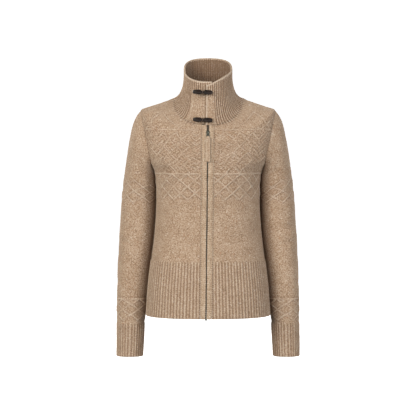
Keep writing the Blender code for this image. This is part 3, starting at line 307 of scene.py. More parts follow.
brushed_wool = marl_wool("brushed_marl_lambswool", "#6F5643", "#A0866C", "#C6B6A3")
binding_wool = marl_wool("smooth_marl_binding", "#786049", "#A0886E", "#C2B29E", depth=0.7)
print("wool:", len(brushed_wool.node_tree.nodes), "nodes")

# %% [markdown]
# A garment has few straight lines, so its sizes are given in tables and read with a smooth curve.
# Between two rows the curve keeps to their heights: it never swells past them, as a spline can.
# Shapes are made with numpy, which moves a hundred thousand points at once.


# %% Curves and directions
def columns(names, rows):
    """A table with named columns, its rows in rising order of the first one."""
    values = np.array(sorted(rows), dtype=float)
    return dict(zip(names.split(), values.T))


def curve(at, xs, ys):
    """Smooth values between the rows of a table, with no overshoot."""
    at = np.clip(at, xs[0], xs[-1])
    run = np.diff(xs)
    rise = np.diff(ys) / run
    slope = np.concatenate(([rise[0]], np.zeros(len(xs) - 2), [rise[-1]]))
    same = rise[:-1] * rise[1:] > 0
    weight_a = 2 * run[1:] + run[:-1]
    weight_b = run[1:] + 2 * run[:-1]
    before = np.where(same, rise[:-1], 1.0)
    after = np.where(same, rise[1:], 1.0)
    slope[1:-1] = np.where(same, (weight_a + weight_b) / (weight_a / before + weight_b / after), 0.0)
    i = np.clip(np.searchsorted(xs, at) - 1, 0, len(xs) - 2)
    t = (at - xs[i]) / run[i]
    along = slope[i] * t * (1 - t) ** 2 - slope[i + 1] * t**2 * (1 - t)
    return ys[i] + (ys[i + 1] - ys[i]) * t**2 * (3 - 2 * t) + along * run[i]


def ease(t):
    """0 to 1 with level ends."""
    t = np.clip(t, 0, 1)
    return t * t * (3 - 2 * t)


def power(value, exponent):
    """A power that keeps the sign of its base."""
    return np.sign(value) * np.abs(value) ** exponent


def unit(vectors):
    """The same directions with length 1."""
    return vectors / np.maximum(np.linalg.norm(vectors, axis=-1, keepdims=True), 1e-12)


def lengths_along(points):
    """How long a line of points is up to each of them."""
    return np.concatenate(([0], np.cumsum(np.linalg.norm(np.diff(points, axis=0), axis=1))))


rows = np.array((0.0, 1.0, 1.0))
print("a curve through 0, 1 and 1, halfway to its second row:", curve(0.5, np.arange(3.0), rows))

# %% [markdown]
# The garment's shape comes from the same sizes that its solids were made from. The body is a
# stack of rounded oblong rings: straight ones up to the arms, leaning ones over the shoulders.
# Each row names a ring, and a smooth curve without overshoot gives every size in between.

# %% Body rings
WALL = 3.0  # thickness of the knit between its cables
SEAM = 0.04  # the sewn pieces almost touch here, closer than their solids do
ROUNDNESS = 2.3  # exponent of the rings, 2 is an ellipse
HEM = -559.0
HEM_RIB_TOP = -411.0
LATTICE_FOOT = -255.0
LATTICE_TOP = -189.0
TIP = -28.0  # shoulder tip, the armhole's upper end
NECK = 67.0
CUFF = -669.0
QUARTER = 205.0  # width that a quarter of the body is unrolled to
SMALL_TURN = 0.003  # radians, to measure which way a face runs

TORSO_NAMES = "level half_width front back side_z front_z back_z"
TORSO_ROWS = (
    (-559, 161.0, 113, 108, -559, -559, -559),
    (-494, 156.6, 110, 104, -494, -494, -494),
    (-442, 151.0, 106, 98, -442, -442, -442),
    (-390, 144.2, 103, 94, -390, -390, -390),
    (-338, 138.3, 101, 91, -338, -338, -338),
    (-286, 134.9, 103, 90, -286, -286, -286),
    (-234, 133.6, 108, 93, -234, -234, -234),
    (-200, 135.8, 112, 96, -200, -200, -200),
    (-187, 138.8, 113.5, 97, -187, -187.5, -187),
    (-175, 145.5, 114, 98, -175, -177, -175.5),
    (-160, 157.0, 113.5, 98, -160, -168, -162),
    (-130, 168.0, 112, 98, -130, -151, -136),
    (-90, 175.0, 108, 97, -90, -131, -105),
    (-55, 177.0, 103, 94, -55, -117, -79),
    (-28, 174.0, 99, 90, -28, -107, -60),
    (0, 148.0, 95.5, 85, -17, -95, -41),
    (30, 119.5, 91.5, 79, -7.5, -81, -20),
    (67, 88.0, 88, 72, 3, -65, 3),
)
TORSO = columns(TORSO_NAMES, TORSO_ROWS)


def torso(angle, level, back=False):
    """Points of the body's outer face. angle is 0 in the middle and a quarter turn at the sides."""

    def read(name):
        return curve(level, TORSO["level"], TORSO[name])

    exponent = 2 / ROUNDNESS
    across = power(np.sin(angle), exponent)
    forward = np.abs(np.cos(angle)) ** exponent
    lean = 2 - (2 - exponent) * ease((level - TIP) / (NECK - TIP))
    side_z = read("side_z")
    depth = read("back") if back else -read("front")
    middle_z = read("back_z") if back else read("front_z")
    z = side_z + (middle_z - side_z) * np.abs(np.cos(angle)) ** lean
    return np.stack((read("half_width") * across, depth * forward, z), axis=-1)


waist = torso(np.array([0.0, math.pi / 2]), np.array([-338.0, -338.0]))
print("body ring at the waist:", waist.round(1).tolist())

# %% [markdown]
# A knitter thinks of each piece as flat, so the patterns are drawn on the unrolled cloth: w goes
# round a quarter of the body in 205 steps of about a millimetre, and the level goes up. These
# helpers turn w and level into an angle on a ring and back.

# %% Unrolling the body
FINE = np.linspace(0, math.pi / 2, 181)


def ring_shares(levels, back):
    """How far round its quarter each ring has come at the fine angles, a row for each level."""
    grid = torso(FINE[None, :], levels[:, None], back)
    steps = np.linalg.norm(np.diff(grid, axis=1), axis=2)
    lengths = np.concatenate((np.zeros((len(levels), 1)), np.cumsum(steps, axis=1)), axis=1)
    return lengths / lengths[:, -1:]


def angles_at(w, levels, back):
    """Angles at unrolled widths, which are given as a row for each level."""
    rows = [np.interp(np.abs(row) / QUARTER, share, FINE) for row, share in zip(w, ring_shares(levels, back))]
    return np.sign(w) * np.array(rows)


def widths_at(angle, levels, back):
    """The unrolled width of one angle at each level."""
    rows = [np.interp(abs(a), FINE, share) for a, share in zip(angle, ring_shares(levels, back))]
    return np.sign(angle) * QUARTER * np.array(rows)


def torso_face(angle, level, back=False):
    """Points of the body's outer face and the directions straight out of it."""
    points = torso(angle, level, back)
    toward = np.where(angle >= 0, -1.0, 1.0)
    round_it = (torso(angle + toward * SMALL_TURN, level, back) - points) * toward[..., None]
    up = torso(angle, level + 0.5, back) - torso(angle, level - 0.5, back)
    return points, unit(np.cross(up, round_it) if back else np.cross(round_it, up))


def body_points(w, levels, back):
    """Points and outward normals at unrolled widths, a row for each level."""
    return torso_face(angles_at(w, levels, back), levels[:, None], back)


def seen(x, z, back=False):
    """The angle and level that show at x and z from straight in front or behind."""
    low = np.full(np.shape(x), HEM)
    high = np.full(np.shape(x), NECK)
    for _ in range(40):
        level = (low + high) / 2
        half = curve(level, TORSO["level"], TORSO["half_width"])
        angle = np.sign(x) * np.arcsin(np.minimum(np.abs(x) / half, 1.0) ** (ROUNDNESS / 2))
        below = torso(angle, level, back)[..., 2] < z
        low = np.where(below, level, low)
        high = np.where(below, high, level)
    return angle, level


def unrolled(places, back):
    """Places given as seen from in front or behind, as rows of w and level."""
    places = np.array(places, dtype=float)
    angle, level = seen(places[:, 0], places[:, 1], back)
    return np.stack((widths_at(angle, level, back), level), axis=-1)


print("middle of the chest, unrolled:", unrolled([(60, -200)], False).round(1).tolist())

# %% [markdown]
# The pieces end at seams. The sleeve is sewn to the body in one leaning plane, the sides and
# shoulders meet in the plane between front and back, and the fronts stop at the zip's bindings.

# %% Seams
ARMHOLE_LOW = (143.0, -175.0)  # x and z of two points of the armhole's plane
ARMHOLE_HIGH = (174.0, -28.0)
ZIP_X = ((-65.0, 0.0), (-559.0, -5.2))  # z and x of the zip line's two ends
PANEL_EDGE = 15.4  # the fronts stop this far from it
SIDE_SEAM = (np.zeros(3), np.array((0.0, 1.0, 0.0)))


def armhole_x(z):
    """x of the armhole's plane, which stands along Y."""
    run = (z - ARMHOLE_LOW[1]) / (ARMHOLE_HIGH[1] - ARMHOLE_LOW[1])
    return ARMHOLE_LOW[0] + (ARMHOLE_HIGH[0] - ARMHOLE_LOW[0]) * run


def zip_x(z):
    """x of the zip's middle line."""
    (top, top_x), (foot, foot_x) = ZIP_X
    return top_x + (foot_x - top_x) * (z - top) / (foot - top)


def meeting_angle(levels, angles, back, edge_x):
    """The angle at which each ring meets an edge whose x depends on z."""
    points = torso(angles[None, :], levels[:, None], back)
    excess = points[..., 0] - edge_x(points[..., 2])
    return np.array([np.interp(0.0, row, angles) for row in excess])


def armhole_w(levels, back):
    """Unrolled width of the armhole's edge at each level."""
    return widths_at(meeting_angle(levels, FINE, back, armhole_x), levels, back)


def zip_w(levels, side):
    """Unrolled width, without its sign, of a front's edge beside the binding."""
    angles = np.linspace(-0.9, 0.9, 721)
    angle = meeting_angle(levels, angles, False, lambda z: zip_x(z) + PANEL_EDGE * side)
    return np.abs(widths_at(angle, levels, False))


def armhole_plane(side):
    """A point of an armhole's plane and the direction out of the body."""
    along = np.array((ARMHOLE_HIGH[0] - ARMHOLE_LOW[0], 0.0, ARMHOLE_HIGH[1] - ARMHOLE_LOW[1]))
    normal = unit(np.array((along[2] * side, 0.0, -along[0])))
    return np.array((ARMHOLE_LOW[0] * side, 0.0, ARMHOLE_LOW[1])), normal


def zip_plane(side):
    """A point of the plane where a front ends beside its binding, and the direction to the zip."""
    (top, top_x), (foot, foot_x) = ZIP_X
    normal = unit(np.array((foot - top, 0.0, top_x - foot_x))) * side
    return np.array((top_x + PANEL_EDGE * side, 0.0, top)), normal


def neck_plane(back):
    """A point of the neckline's plane, in front or behind, and the direction up out of the body."""
    side = torso(np.array(math.pi / 2), np.array(NECK))
    middle = torso(np.array(0.0), np.array(NECK), back)
    slope = (middle[2] - side[2]) / middle[1]
    return np.array((0.0, 0.0, side[2])), unit(np.array((0.0, -slope, 1.0)))


def level_plane(z, up):
    """A point of a level plane and the direction up, or down if up is -1."""
    return np.array((0.0, 0.0, z)), np.array((0.0, 0.0, float(up)))


def underarm():
    """The level and the place where the armhole meets the body's side, found by halving."""
    low = -190.0
    high = -165.0
    for _ in range(50):
        level = (low + high) / 2
        x, _, z = torso(np.array(math.pi / 2), np.array(level))
        if x < armhole_x(z):
            low = level
        else:
            high = level
    return level, np.array((x, z))


UNDERARM, UNDERARM_POINT = underarm()
print("underarm level:", round(UNDERARM, 2))

# %% [markdown]
# Two sewn pieces meet in a plane. A plain thick sheet would leave a wedge there, since each side
# is thickened along its own slope. So along a seam the wall's thickness is measured in the seam's
# plane: the way out of the cloth is flattened into every plane that the point ends on.


# %% Ends on planes
def at_seam(base, normals, lift, planes):
    """Points that end on planes, each given as origin, normal and the gap kept to it."""
    basis = []
    for _, normal, _ in planes:
        for other in basis:
            normal = normal - (normal @ other) * other
        basis.append(unit(normal))
    through = normals
    for normal in basis:
        through = through - (through @ normal)[..., None] * normal
    through = through / np.maximum((through**2).sum(axis=-1, keepdims=True), 0.3)
    points = base + through * lift[..., None]
    for _ in range(6):
        for origin, normal, gap in planes:
            points = points - normal * (((points - origin) @ normal) + gap)[..., None]
    return points


print("out of the right armhole:", armhole_plane(1)[1].round(3).tolist())

# %% [markdown]
# A piece of cloth is a closed wall: an outer grid that carries the knit's relief, an inner grid,
# and a strip of faces that joins their edges. The grids have different numbers of points, so the
# strip is sewn in triangles. bmesh then turns all faces outwards.

# %% Cloth walls
OUTER_FACES = {}  # how many of a mesh's faces, from the first, are on its outer side


class Wall:
    """Collects the points and faces of one closed piece."""

    def __init__(self):
        self.points = []
        self.maps = []
        self.painted_shading = []
        self.faces = []
        self.first = 0
        self.count = 0

    def grid(self, points, flat, painted_shading, wrapped=False):
        """Adds a grid of points with its faces, and gives the points' numbers."""
        rows, across = points.shape[:2]
        numbers = self.count + np.arange(rows * across).reshape(rows, across)
        self.count += rows * across
        self.points.append(points.reshape(-1, 3))
        self.maps.append(flat.reshape(-1, 2))
        self.painted_shading.append(np.broadcast_to(painted_shading, (rows, across)).reshape(-1))
        ring = np.concatenate((numbers, numbers[:, :1]), axis=1) if wrapped else numbers
        quads = np.stack((ring[:-1, :-1], ring[:-1, 1:], ring[1:, 1:], ring[1:, :-1]), axis=-1)
        self.faces += quads.reshape(-1, 4).tolist()
        self.first = self.first or len(self.faces)
        return numbers

    def stitch(self, first, second):
        """Triangles between two rows of points that run side by side over the same length."""
        i = 0
        j = 0
        ends = len(first) - 1, len(second) - 1
        while i < ends[0] or j < ends[1]:
            if i < ends[0] and (j == ends[1] or (i + 1) / ends[0] <= (j + 1) / ends[1]):
                self.faces.append((first[i], first[i + 1], second[j]))
                i += 1
            else:
                self.faces.append((first[i], second[j + 1], second[j]))
                j += 1

    def join(self, grids, wrapped=False):
        """Stitches the edges of the outer grid to those of the inner one."""
        edges = []
        for numbers in grids:
            if wrapped:
                edges.append([np.append(row, row[0]) for row in (numbers[0], numbers[-1])])
            else:
                edges.append((numbers[0], numbers[-1], numbers[:, 0], numbers[:, -1]))
        for outer_run, inner_run in zip(*edges):
            self.stitch(outer_run.tolist(), inner_run.tolist())

    def cap(self, ring):
        """Closes a ring of points with one face."""
        self.faces.append([int(i) for i in ring])

    def make(self, name, material, period=None):
        """The mesh object. period is the map's width on a tube, where it starts again."""
        mesh = bpy.data.meshes.new(name)
        points = np.concatenate(self.points) * MM
        mesh.from_pydata(points.tolist(), [], self.faces)
        shape = bmesh.new()
        shape.from_mesh(mesh)
        bmesh.ops.recalc_face_normals(shape, faces=shape.faces)
        if shape.calc_volume(signed=True) < 0:
            bmesh.ops.reverse_faces(shape, faces=shape.faces)
        shape.to_mesh(mesh)
        shape.free()
        corners = np.zeros(len(mesh.loops), dtype=np.int32)
        mesh.loops.foreach_get("vertex_index", corners)
        flat = np.concatenate(self.maps)[corners]
        if period:
            sizes = np.zeros(len(mesh.polygons), dtype=np.int32)
            mesh.polygons.foreach_get("loop_total", sizes)
            starts = np.concatenate(([0], np.cumsum(sizes)[:-1]))
            spread = np.maximum.reduceat(flat[:, 0], starts) - np.minimum.reduceat(flat[:, 0], starts)
            crossing = np.repeat(spread > period / 2, sizes)
            flat[:, 0] += np.where(crossing & (flat[:, 0] < period / 2), period, 0.0)
        layer = mesh.uv_layers.new(name="knit")
        layer.data.foreach_set("uv", flat.astype(np.float32).ravel())
        attribute = mesh.attributes.new("painted_shading", "FLOAT", "POINT")
        attribute.data.foreach_set("value", np.concatenate(self.painted_shading).astype(np.float32))
        mesh.materials.append(material)
        mesh.shade_smooth()
        OUTER_FACES[name] = self.first
        triangles = sum(len(face) - 2 for face in self.faces)
        print(f"{name}: {triangles} triangles")
        return add_object(name, mesh)

# %% [markdown]
# Grids have rows only as close as the knit needs: a fraction of a millimetre at an edge that is
# rounded, wide where the cloth is plain. A maker buys and cuts flat cloth, so each piece is also
# measured flat, before its cables are raised.


# %% Rows, flat sizes and edges
def steps(*stops):
    """Rising heights: each stop is a height and the step from there up to the next stop."""
    row = []
    for (start, step), (end, _) in zip(stops[:-1], stops[1:]):
        count = max(1, round((end - start) / step))
        row += list(np.linspace(start, end, count + 1)[:-1])
    return np.array(row + [stops[-1][0]])


def flat_size(points):
    """Width, length and area of a grid of points laid flat, in metres."""
    across = np.linalg.norm(np.diff(points, axis=1), axis=2)
    along = np.linalg.norm(np.diff(points, axis=0), axis=2)
    corner = points[:-1, :-1]
    areas = np.linalg.norm(np.cross(points[:-1, 1:] - corner, points[1:, :-1] - corner), axis=2)
    width = across.sum(axis=1).max() * MM
    length = along.sum(axis=0).max() * MM
    return float(width), float(length), float(areas.sum()) * MM * MM


def rounded_edge(distance, half):
    """How thick a knitted edge is near its end: from a fifth up to all of it, as a half circle."""
    inward = 1 - np.clip(distance / half, 0, 1)
    return 0.2 + 0.8 * np.sqrt(1 - inward**2)


print("rows of a 10 mm strip with a fine edge:", len(steps((0, 0.4), (2, 2.0), (10, 2.0))))

# %% [markdown]
# The patterns are the traditional ones of fishermen's knitwear: lattice bands of crossed twisted
# stitches, a trellis, nested V cables beside the armholes, and a narrow braid beside the zip.
# They are drawn as lines on the front as it is seen, then unrolled.

# %% Cable lines
BODY_DIAMONDS = 5  # in a quarter of the lattice band
LATTICE_SHIFT = {"right": 5.0, "left": 14.0}

YOKE_LINES = (  # one half as seen from the front: x away from the middle, and z
    ((24, -77), (68, -77), (118, -77), (160, -77)),
    ((116, -33), (144, -57), (158, -77)),
    ((116, -33), (73, -71)),
    ((167, -46), (140, -72)),
    ((46, -86), (79, -120), (46, -154), (79, -187)),
    ((79, -86), (112, -120), (79, -154), (112, -187)),
    ((112, -86), (79, -120), (112, -154), (79, -187)),
    ((79, -86), (46, -120), (79, -154), (46, -187)),
)
CHEVRON_TIPS = (-102, -122, -142, -162)
CHEVRON_X = (114, 129, 144)
CHEVRON_DROP = 17
BRAID_X = (20, 30, 40)
BRAID_TOP = -86
BRAID_PITCH = 12
BRAID_DROP = 8
BRAID_COUNT = 8
BACK_LINES = (
    ((13, -86), (46, -120), (13, -154), (46, -187)),
    ((46, -86), (13, -120), (46, -154), (13, -187)),
)


def lattice(left, right, top, foot, pitch, phase):
    """Crossing diagonals, two diamonds high, that fill a band."""
    lines = []
    first = math.floor((left - phase) / pitch) - 2
    last = math.ceil((right - phase) / pitch) + 2
    for k in range(first, last + 1):
        start = phase + k * pitch
        for run in (-pitch, pitch):
            low, high = sorted((start, start + 2 * run))
            if high > left and low < right:
                lines.append(((start, top), (start + run, (top + foot) / 2), (start + 2 * run, foot)))
    return lines


def yoke(back, side, braided):
    """The cables of one half of a yoke, unrolled."""
    drawn = list(YOKE_LINES) + (list(BACK_LINES) if back else [])
    start, turn, end = CHEVRON_X
    drawn += [((start, tip + CHEVRON_DROP), (turn, tip), (end, tip + CHEVRON_DROP)) for tip in CHEVRON_TIPS]
    if braided:
        start, turn, end = BRAID_X
        tops = [BRAID_TOP - k * BRAID_PITCH for k in range(BRAID_COUNT)]
        drawn += [((start, z), (turn, z - BRAID_DROP), (end, z)) for z in tops]
    return [unrolled([(x * side, z) for x, z in line], back) for line in drawn]


print("yoke lines:", len(yoke(True, 1, False)), "on half a back")

# %% [markdown]
# A line becomes a rope of knitting: a round crest with a small groove on either side, waisted
# where its stitches cross, and in places felted flat by wear. Ribs are rounded waves that rise
# out of the plain knit. Between the cables the knit is moss stitch, a chequer of small bumps, and
# in the yoke a denser one of knots.

# %% Ropes and ribs
BODY_RIBS = 26  # in a quarter of the hem
RIB = QUARTER / BODY_RIBS
RIB_RISE = 1.7
RIB_FADE = 7.0  # length over which a rib rises from the plain knit
ROPE_HALF = 2.1
ROPE_RISE = 1.7
ROPE_GROOVE = 0.45
ROPE_TWIST = 5.6  # mm between two crossings of its stitches
MOSS = 4.4  # mm between the bumps of the moss stitch inside the trellis
MOSS_RISE = 0.3
KNOT_RISE = 0.5
UNEVEN = 0.45  # how far hand knitting strays from an even face


def nearest_line(w, v, lines):
    """Distance to the nearest line, and how far along it that nearest place is."""
    best = np.full(w.shape, 1e3)
    along = np.zeros(w.shape)
    for line in lines:
        done = 0.0
        for (w0, v0), (w1, v1) in zip(line[:-1], line[1:]):
            run_w = w1 - w0
            run_v = v1 - v0
            length = math.hypot(run_w, run_v)
            share = np.clip(((w - w0) * run_w + (v - v0) * run_v) / length**2, 0, 1)
            away = np.hypot(w - w0 - share * run_w, v - v0 - share * run_v)
            closer = away < best
            best = np.where(closer, away, best)
            along = np.where(closer, done + share * length, along)
            done += length
    return best, along


def ropes(w, v, lines):
    """Height of the cables, and their painted light and shade: crests lighter, grooves darker."""
    away, along = nearest_line(w, v, lines)
    dome = np.sqrt(1 - np.clip(away / ROPE_HALF, 0, 1) ** 2)
    groove = np.exp(-(((away - ROPE_HALF - 1.2) / 1.1) ** 2))
    twist = 0.88 + 0.12 * np.cos(2 * math.pi * along / ROPE_TWIST)
    felted = 0.68 + 0.32 * np.sin(w / 9.7 + 1.3 * np.sin(v / 15)) * np.sin(v / 8.1 + 0.9 * np.sin(w / 21))
    height = (ROPE_RISE * dome * twist - ROPE_GROOVE * groove) * felted
    return height, (0.85 * dome * twist - 0.6 * groove) * felted


def rib_wave(phase, v, top):
    """Height from 0 to 1 of ribs and their painted light and shade, at a phase counted in ribs, fading at
    their top.
    """
    number = np.floor(phase + 0.5)
    uneven = 0.9 + 0.1 * np.sin(2.4 * number) + 0.05 * np.sin(v / 9.0 + 1.7 * number)
    wave = (0.5 + 0.5 * np.cos(2 * math.pi * phase)) ** 0.8 * uneven
    shown = ease((top - v) / RIB_FADE)
    return wave * shown, (wave * 1.4 - 0.8) * shown


def hand_knit(points):
    """The slow unevenness of cloth knitted by hand, from -1 to 1, the same from every piece."""
    x, y, z = np.moveaxis(points, -1, 0)
    slow = np.sin(x / 17 + 1.3 * np.sin(z / 29)) * np.sin(z / 21 + 1.1 * np.sin(y / 23 + x / 31))
    quick = np.sin(x / 7.1 + z / 11 + 2.0) * np.sin(z / 6.3 - y / 9.0 + 0.7 * np.sin(x / 13))
    return 0.7 * slow + 0.3 * quick


print("ribs round the hem:", 4 * BODY_RIBS, "of", round(RIB, 2), "mm")

# %% [markdown]
# Worn cloth has a few soft folds: it drags from under the arm towards the chest, dips beside the
# zip, and wrinkles across the inside of the elbow. Each row of this table is one fold: where its
# middle lies, which way it runs, half its length, half its width, and its height, which is
# negative for a trough. Folds differ in length, depth and spacing as real ones do.

# %% Folds
FRONT_FOLDS = {  # each row: x, z, turn in degrees, half length, half width and height
    "left": (
        (-112, -186, 38, 40, 9, -2.6),
        (-98, -206, 30, 46, 8, 1.6),
        (-86, -214, 24, 40, 9, -1.9),
        (-104, -240, 14, 34, 12, -1.6),
        (-20, -150, 82, 58, 8, -1.6),
        (-60, -205, -12, 30, 11, -1.5),
        (-52, -378, 8, 46, 14, -1.9),
        (-96, -352, -14, 40, 12, -1.5),
        (-48, -330, 12, 42, 16, 1.6),
        (-130, -70, 58, 30, 9, -1.6),
        (-98, -48, 40, 26, 9, -1.2),
        (-34, -470, 86, 70, 9, -1.0),
    ),
    "right": (
        (112, -184, -36, 42, 9, -2.8),
        (96, -202, -28, 44, 9, 1.8),
        (88, -216, -22, 44, 9, -2.0),
        (106, -238, -10, 36, 12, -1.7),
        (21, -104, 86, 62, 7, -2.4),
        (42, -280, 14, 40, 12, -2.0),
        (78, -318, -8, 44, 17, 1.9),
        (110, -312, 18, 34, 13, 1.3),
        (64, -366, 10, 52, 12, -1.8),
        (102, -54, -44, 30, 9, -1.5),
        (134, -76, -60, 30, 9, -1.5),
        (20, -500, 88, 60, 8, -1.3),
    ),
}
BACK_FOLDS = (
    (-112, -180, 36, 42, 10, -2.6),
    (114, -184, -34, 40, 9, -2.4),
    (-92, -208, 26, 46, 9, 1.7),
    (90, -204, -30, 44, 10, 1.8),
    (-84, -226, 18, 44, 10, -1.8),
    (86, -222, -20, 40, 10, -2.0),
    (0, -300, 4, 70, 15, -1.8),
    (-40, -330, -6, 60, 14, 1.6),
    (52, -352, 8, 56, 12, -1.9),
    (-70, -372, -10, 50, 13, -1.6),
    (0, -60, 2, 50, 13, -1.4),
    (-122, -66, 60, 30, 9, -1.5),
    (124, -70, -58, 32, 9, -1.6),
    (8, -420, 3, 60, 12, 1.2),
)


def folds(w, v, table):
    """The height of a table's folds at unrolled places. A fold fades out to its ends and sides."""
    height = np.zeros(w.shape)
    for x, z, turn, half_length, half_width, tall in table:
        way = math.radians(turn)
        along = (w - x) * math.cos(way) + (v - z) * math.sin(way)
        aside = (v - z) * math.cos(way) - (w - x) * math.sin(way)
        aside = aside + 0.12 * half_width * np.sin(along / half_length * 3.1 + x)
        fade = ease(1 - np.abs(along) / half_length)
        height += tall * fade * np.exp(-((aside / half_width) ** 2))
    return height


def on_cloth(table, back):
    """A table of folds seen from in front or behind, moved onto the unrolled cloth."""
    middles = unrolled([(row[0], row[1]) for row in table], back)
    return [(w, v, *row[2:]) for (w, v), row in zip(middles, table)]


print("folds:", sum(len(rows) for rows in FRONT_FOLDS.values()) + len(BACK_FOLDS), "on the body")

# %% [markdown]
# The collar is one ribbed strip, knitted onto the neckline, flared at its base and standing to a
# leaning rim. Its right end laps over its left in front. A rib fabric is ribbed on both faces:
# where the outside has a crest, the inside has a valley. The rim is a rounded bind-off, painted
# paler as a painted highlight.

# %% Collar shape
OVAL_NAMES = "half_width front back side_z front_z back_z"
RIM = dict(zip(OVAL_NAMES.split(), (61.4, 84.0, 56.0, 78.0, 45.0, 109.0)))
ELBOW = dict(zip(OVAL_NAMES.split(), (58.5, 85.0, 59.0, 11.0, -42.0, 17.0)))
NAPE_FLATNESS = 0.65
LAP_RIGHT = -3.0
LAP_LEFT = 368.0
LAP_SHIFT = 2.9
LAP_FADE = (6.0, 24.0)
COLLAR_RIBS = 80
COLLAR_FLAT = 490.0
COLLAR_HIGH = 110.0
COLLAR_RISE = (1.7, 1.1)  # of the ribs outside and inside
RIM_BEAD = 3.4  # depth of the bind-off's row
BAND_TURN = 323.0  # past here the left end is a smooth band, edged with a ridge
RIM_STEPS = 800  # points along the rim, to measure it
RUN_ON = (9.0, 26.0)  # how far the shortest and the longest rib run on below the neckline
RIM_RISE = (  # turn in degrees and rise of the right end's rim, which falls to a corner in front
    (-3, -9.5),
    (5, -5.8),
    (12, -1.8),
    (20, 1.4),
    (30, 4.4),
    (40, 6.4),
    (50, 7.0),
    (60, 6.6),
    (72, 4.6),
    (85, 2.0),
    (100, 0.0),
)


def oval(size, turn):
    """Points of a leaning oval round the neck. turn is 0 in front and rises to the right."""
    forward = power(np.cos(turn), 2 / ROUNDNESS)
    ahead = np.clip(forward, 0, 1)
    behind = np.clip(-forward, 0, 1)
    x = size["half_width"] * power(np.sin(turn), 2 / ROUNDNESS)
    y = -size["front"] * ahead + size["back"] * behind
    z = size["side_z"] + (size["front_z"] - size["side_z"]) * ahead
    z = z + (size["back_z"] - size["side_z"]) * behind**NAPE_FLATNESS
    return np.stack((x, y, z), axis=-1)


def neckline(turn):
    """The seam between the body and the collar."""
    wrapped = np.arctan2(np.sin(turn), np.cos(turn))
    front = np.abs(wrapped) <= math.pi / 2
    behind = np.sign(wrapped) * (math.pi - np.abs(wrapped))
    level = np.full(turn.shape, NECK)
    return np.where(front[..., None], torso(wrapped, level), torso(behind, level, True))


def collar_points(turn, share):
    """The collar's outer face: from the neckline over the flared base up to the rim."""
    degrees = np.degrees(turn)
    foot = neckline(turn)
    rim = oval(RIM, turn)
    turns, rises = np.array(RIM_RISE, dtype=float).T
    rim[..., 2] += np.where(degrees < 180, curve(degrees, turns, rises), 0.0)
    share = share[..., None]
    points = foot * (1 - share) ** 2 + 2 * oval(ELBOW, turn) * share * (1 - share) + rim * share**2
    start, end = LAP_FADE
    shift = LAP_SHIFT * (ease((end - degrees) / (end - start)) - ease((degrees - 360 + end) / (end - start)))
    radial = unit(np.stack((np.sin(turn), -np.cos(turn), np.zeros(turn.shape)), axis=-1))
    return points + radial * shift[..., None]


def collar_turn(w):
    """The angle round the neck at an unrolled width."""
    start = math.radians(LAP_RIGHT)
    end = math.radians(LAP_LEFT)
    return start + (end - start) * w / COLLAR_FLAT


def collar_face(w, v):
    """Points and outward normals of the collar."""
    turn = collar_turn(w)
    share = np.clip(v / COLLAR_HIGH, 0, 1)
    small = 0.003
    points = collar_points(turn, share)
    round_it = collar_points(turn + small, share) - collar_points(turn - small, share)
    above = collar_points(turn, np.clip(share + small, 0, 1))
    below = collar_points(turn, np.clip(share - small, 0, 1))
    return points, unit(np.cross(round_it, above - below))


nape = collar_points(np.array([math.pi]), np.array([1.0]))
print("rim at the nape:", nape.round(1).tolist())

# %% [markdown]
# The collar's ribs are even along its rim and closer together at its foot. They run on below the
# seam into the fronts and back, each to a length of its own, as ribs do that are picked up from
# an unevenly worn neckline.


# %% Collar ribs
def rim_lengths():
    """Unrolled widths along the collar, and how long its rim is up to each."""
    across = np.linspace(0, COLLAR_FLAT, RIM_STEPS)
    rim_line, _ = collar_face(across, np.full(RIM_STEPS, COLLAR_HIGH))
    return across, lengths_along(rim_line)


def rib_number(turn):
    """The count of ribs from the collar's right end at an angle round the neck."""
    across, length = rim_lengths()
    return np.interp(turn, collar_turn(across), length / length[-1] * COLLAR_RIBS)


def ribs_below_collar(angle, v, back):
    """Height and painted light and shade of the collar's ribs where they run on into the body and fade out.
    """
    turn = np.sign(angle) * (math.pi - np.abs(angle)) if back else angle
    number = rib_number(np.where(turn < 0, turn + 2 * math.pi, turn))
    wave = (0.5 - 0.5 * np.cos(2 * math.pi * number)) ** 0.8
    shortest, longest = RUN_ON
    reach = shortest + (longest - shortest) * (0.5 + 0.5 * np.sin(2.4 * np.floor(number)))
    shown = ease(1 - (NECK - v) / reach)
    if not back:
        shown = shown * ease((np.abs(np.degrees(angle)) - 14) / 6)
    return wave * shown, (wave * 1.6 - 1.05) * shown


print("ribs from the right end to the nape:", round(float(rib_number(math.pi)), 1))

# %% [markdown]
# Front and back panels. The outer grid has a point every 1.6 mm round the body, five to a rib, and
# rows as close where cables cross but wider where the knit is plain or only ribbed. Its columns
# are squeezed together where the armhole cuts the panel.

# %% Body panels
FINE_STEP = 1.65
PLAIN_STEP = 3.6
RIB_STEP = 4.2
INNER_STEP = 8.0
COLUMN = RIB / 5


def body_levels(fine, plain, ribbed):
    """Rows of a body panel, closer at the edges and at the armhole's ends."""
    return steps(
        (HEM, 0.4),
        (HEM + 1.6, ribbed),
        (HEM_RIB_TOP - RIB_FADE, min(ribbed, 2.4)),
        (HEM_RIB_TOP + 2, plain),
        (LATTICE_FOOT - 4, fine),
        (UNDERARM, 0.15),
        (UNDERARM + 0.6, 0.5),
        (UNDERARM + 2.1, fine),
        (TIP - 2.1, 0.5),
        (TIP - 0.6, 0.15),
        (TIP, 0.4),
        (TIP + 1.6, fine),
        (NECK, fine),
    )


def outer_edge(levels, back):
    """Unrolled width where a panel ends at its side: the side seam, armhole or shoulder seam."""
    edge = np.full(len(levels), QUARTER)
    cut = (levels > UNDERARM + 0.01) & (levels < TIP - 0.01)
    edge[cut] = armhole_w(levels[cut], back)
    return edge


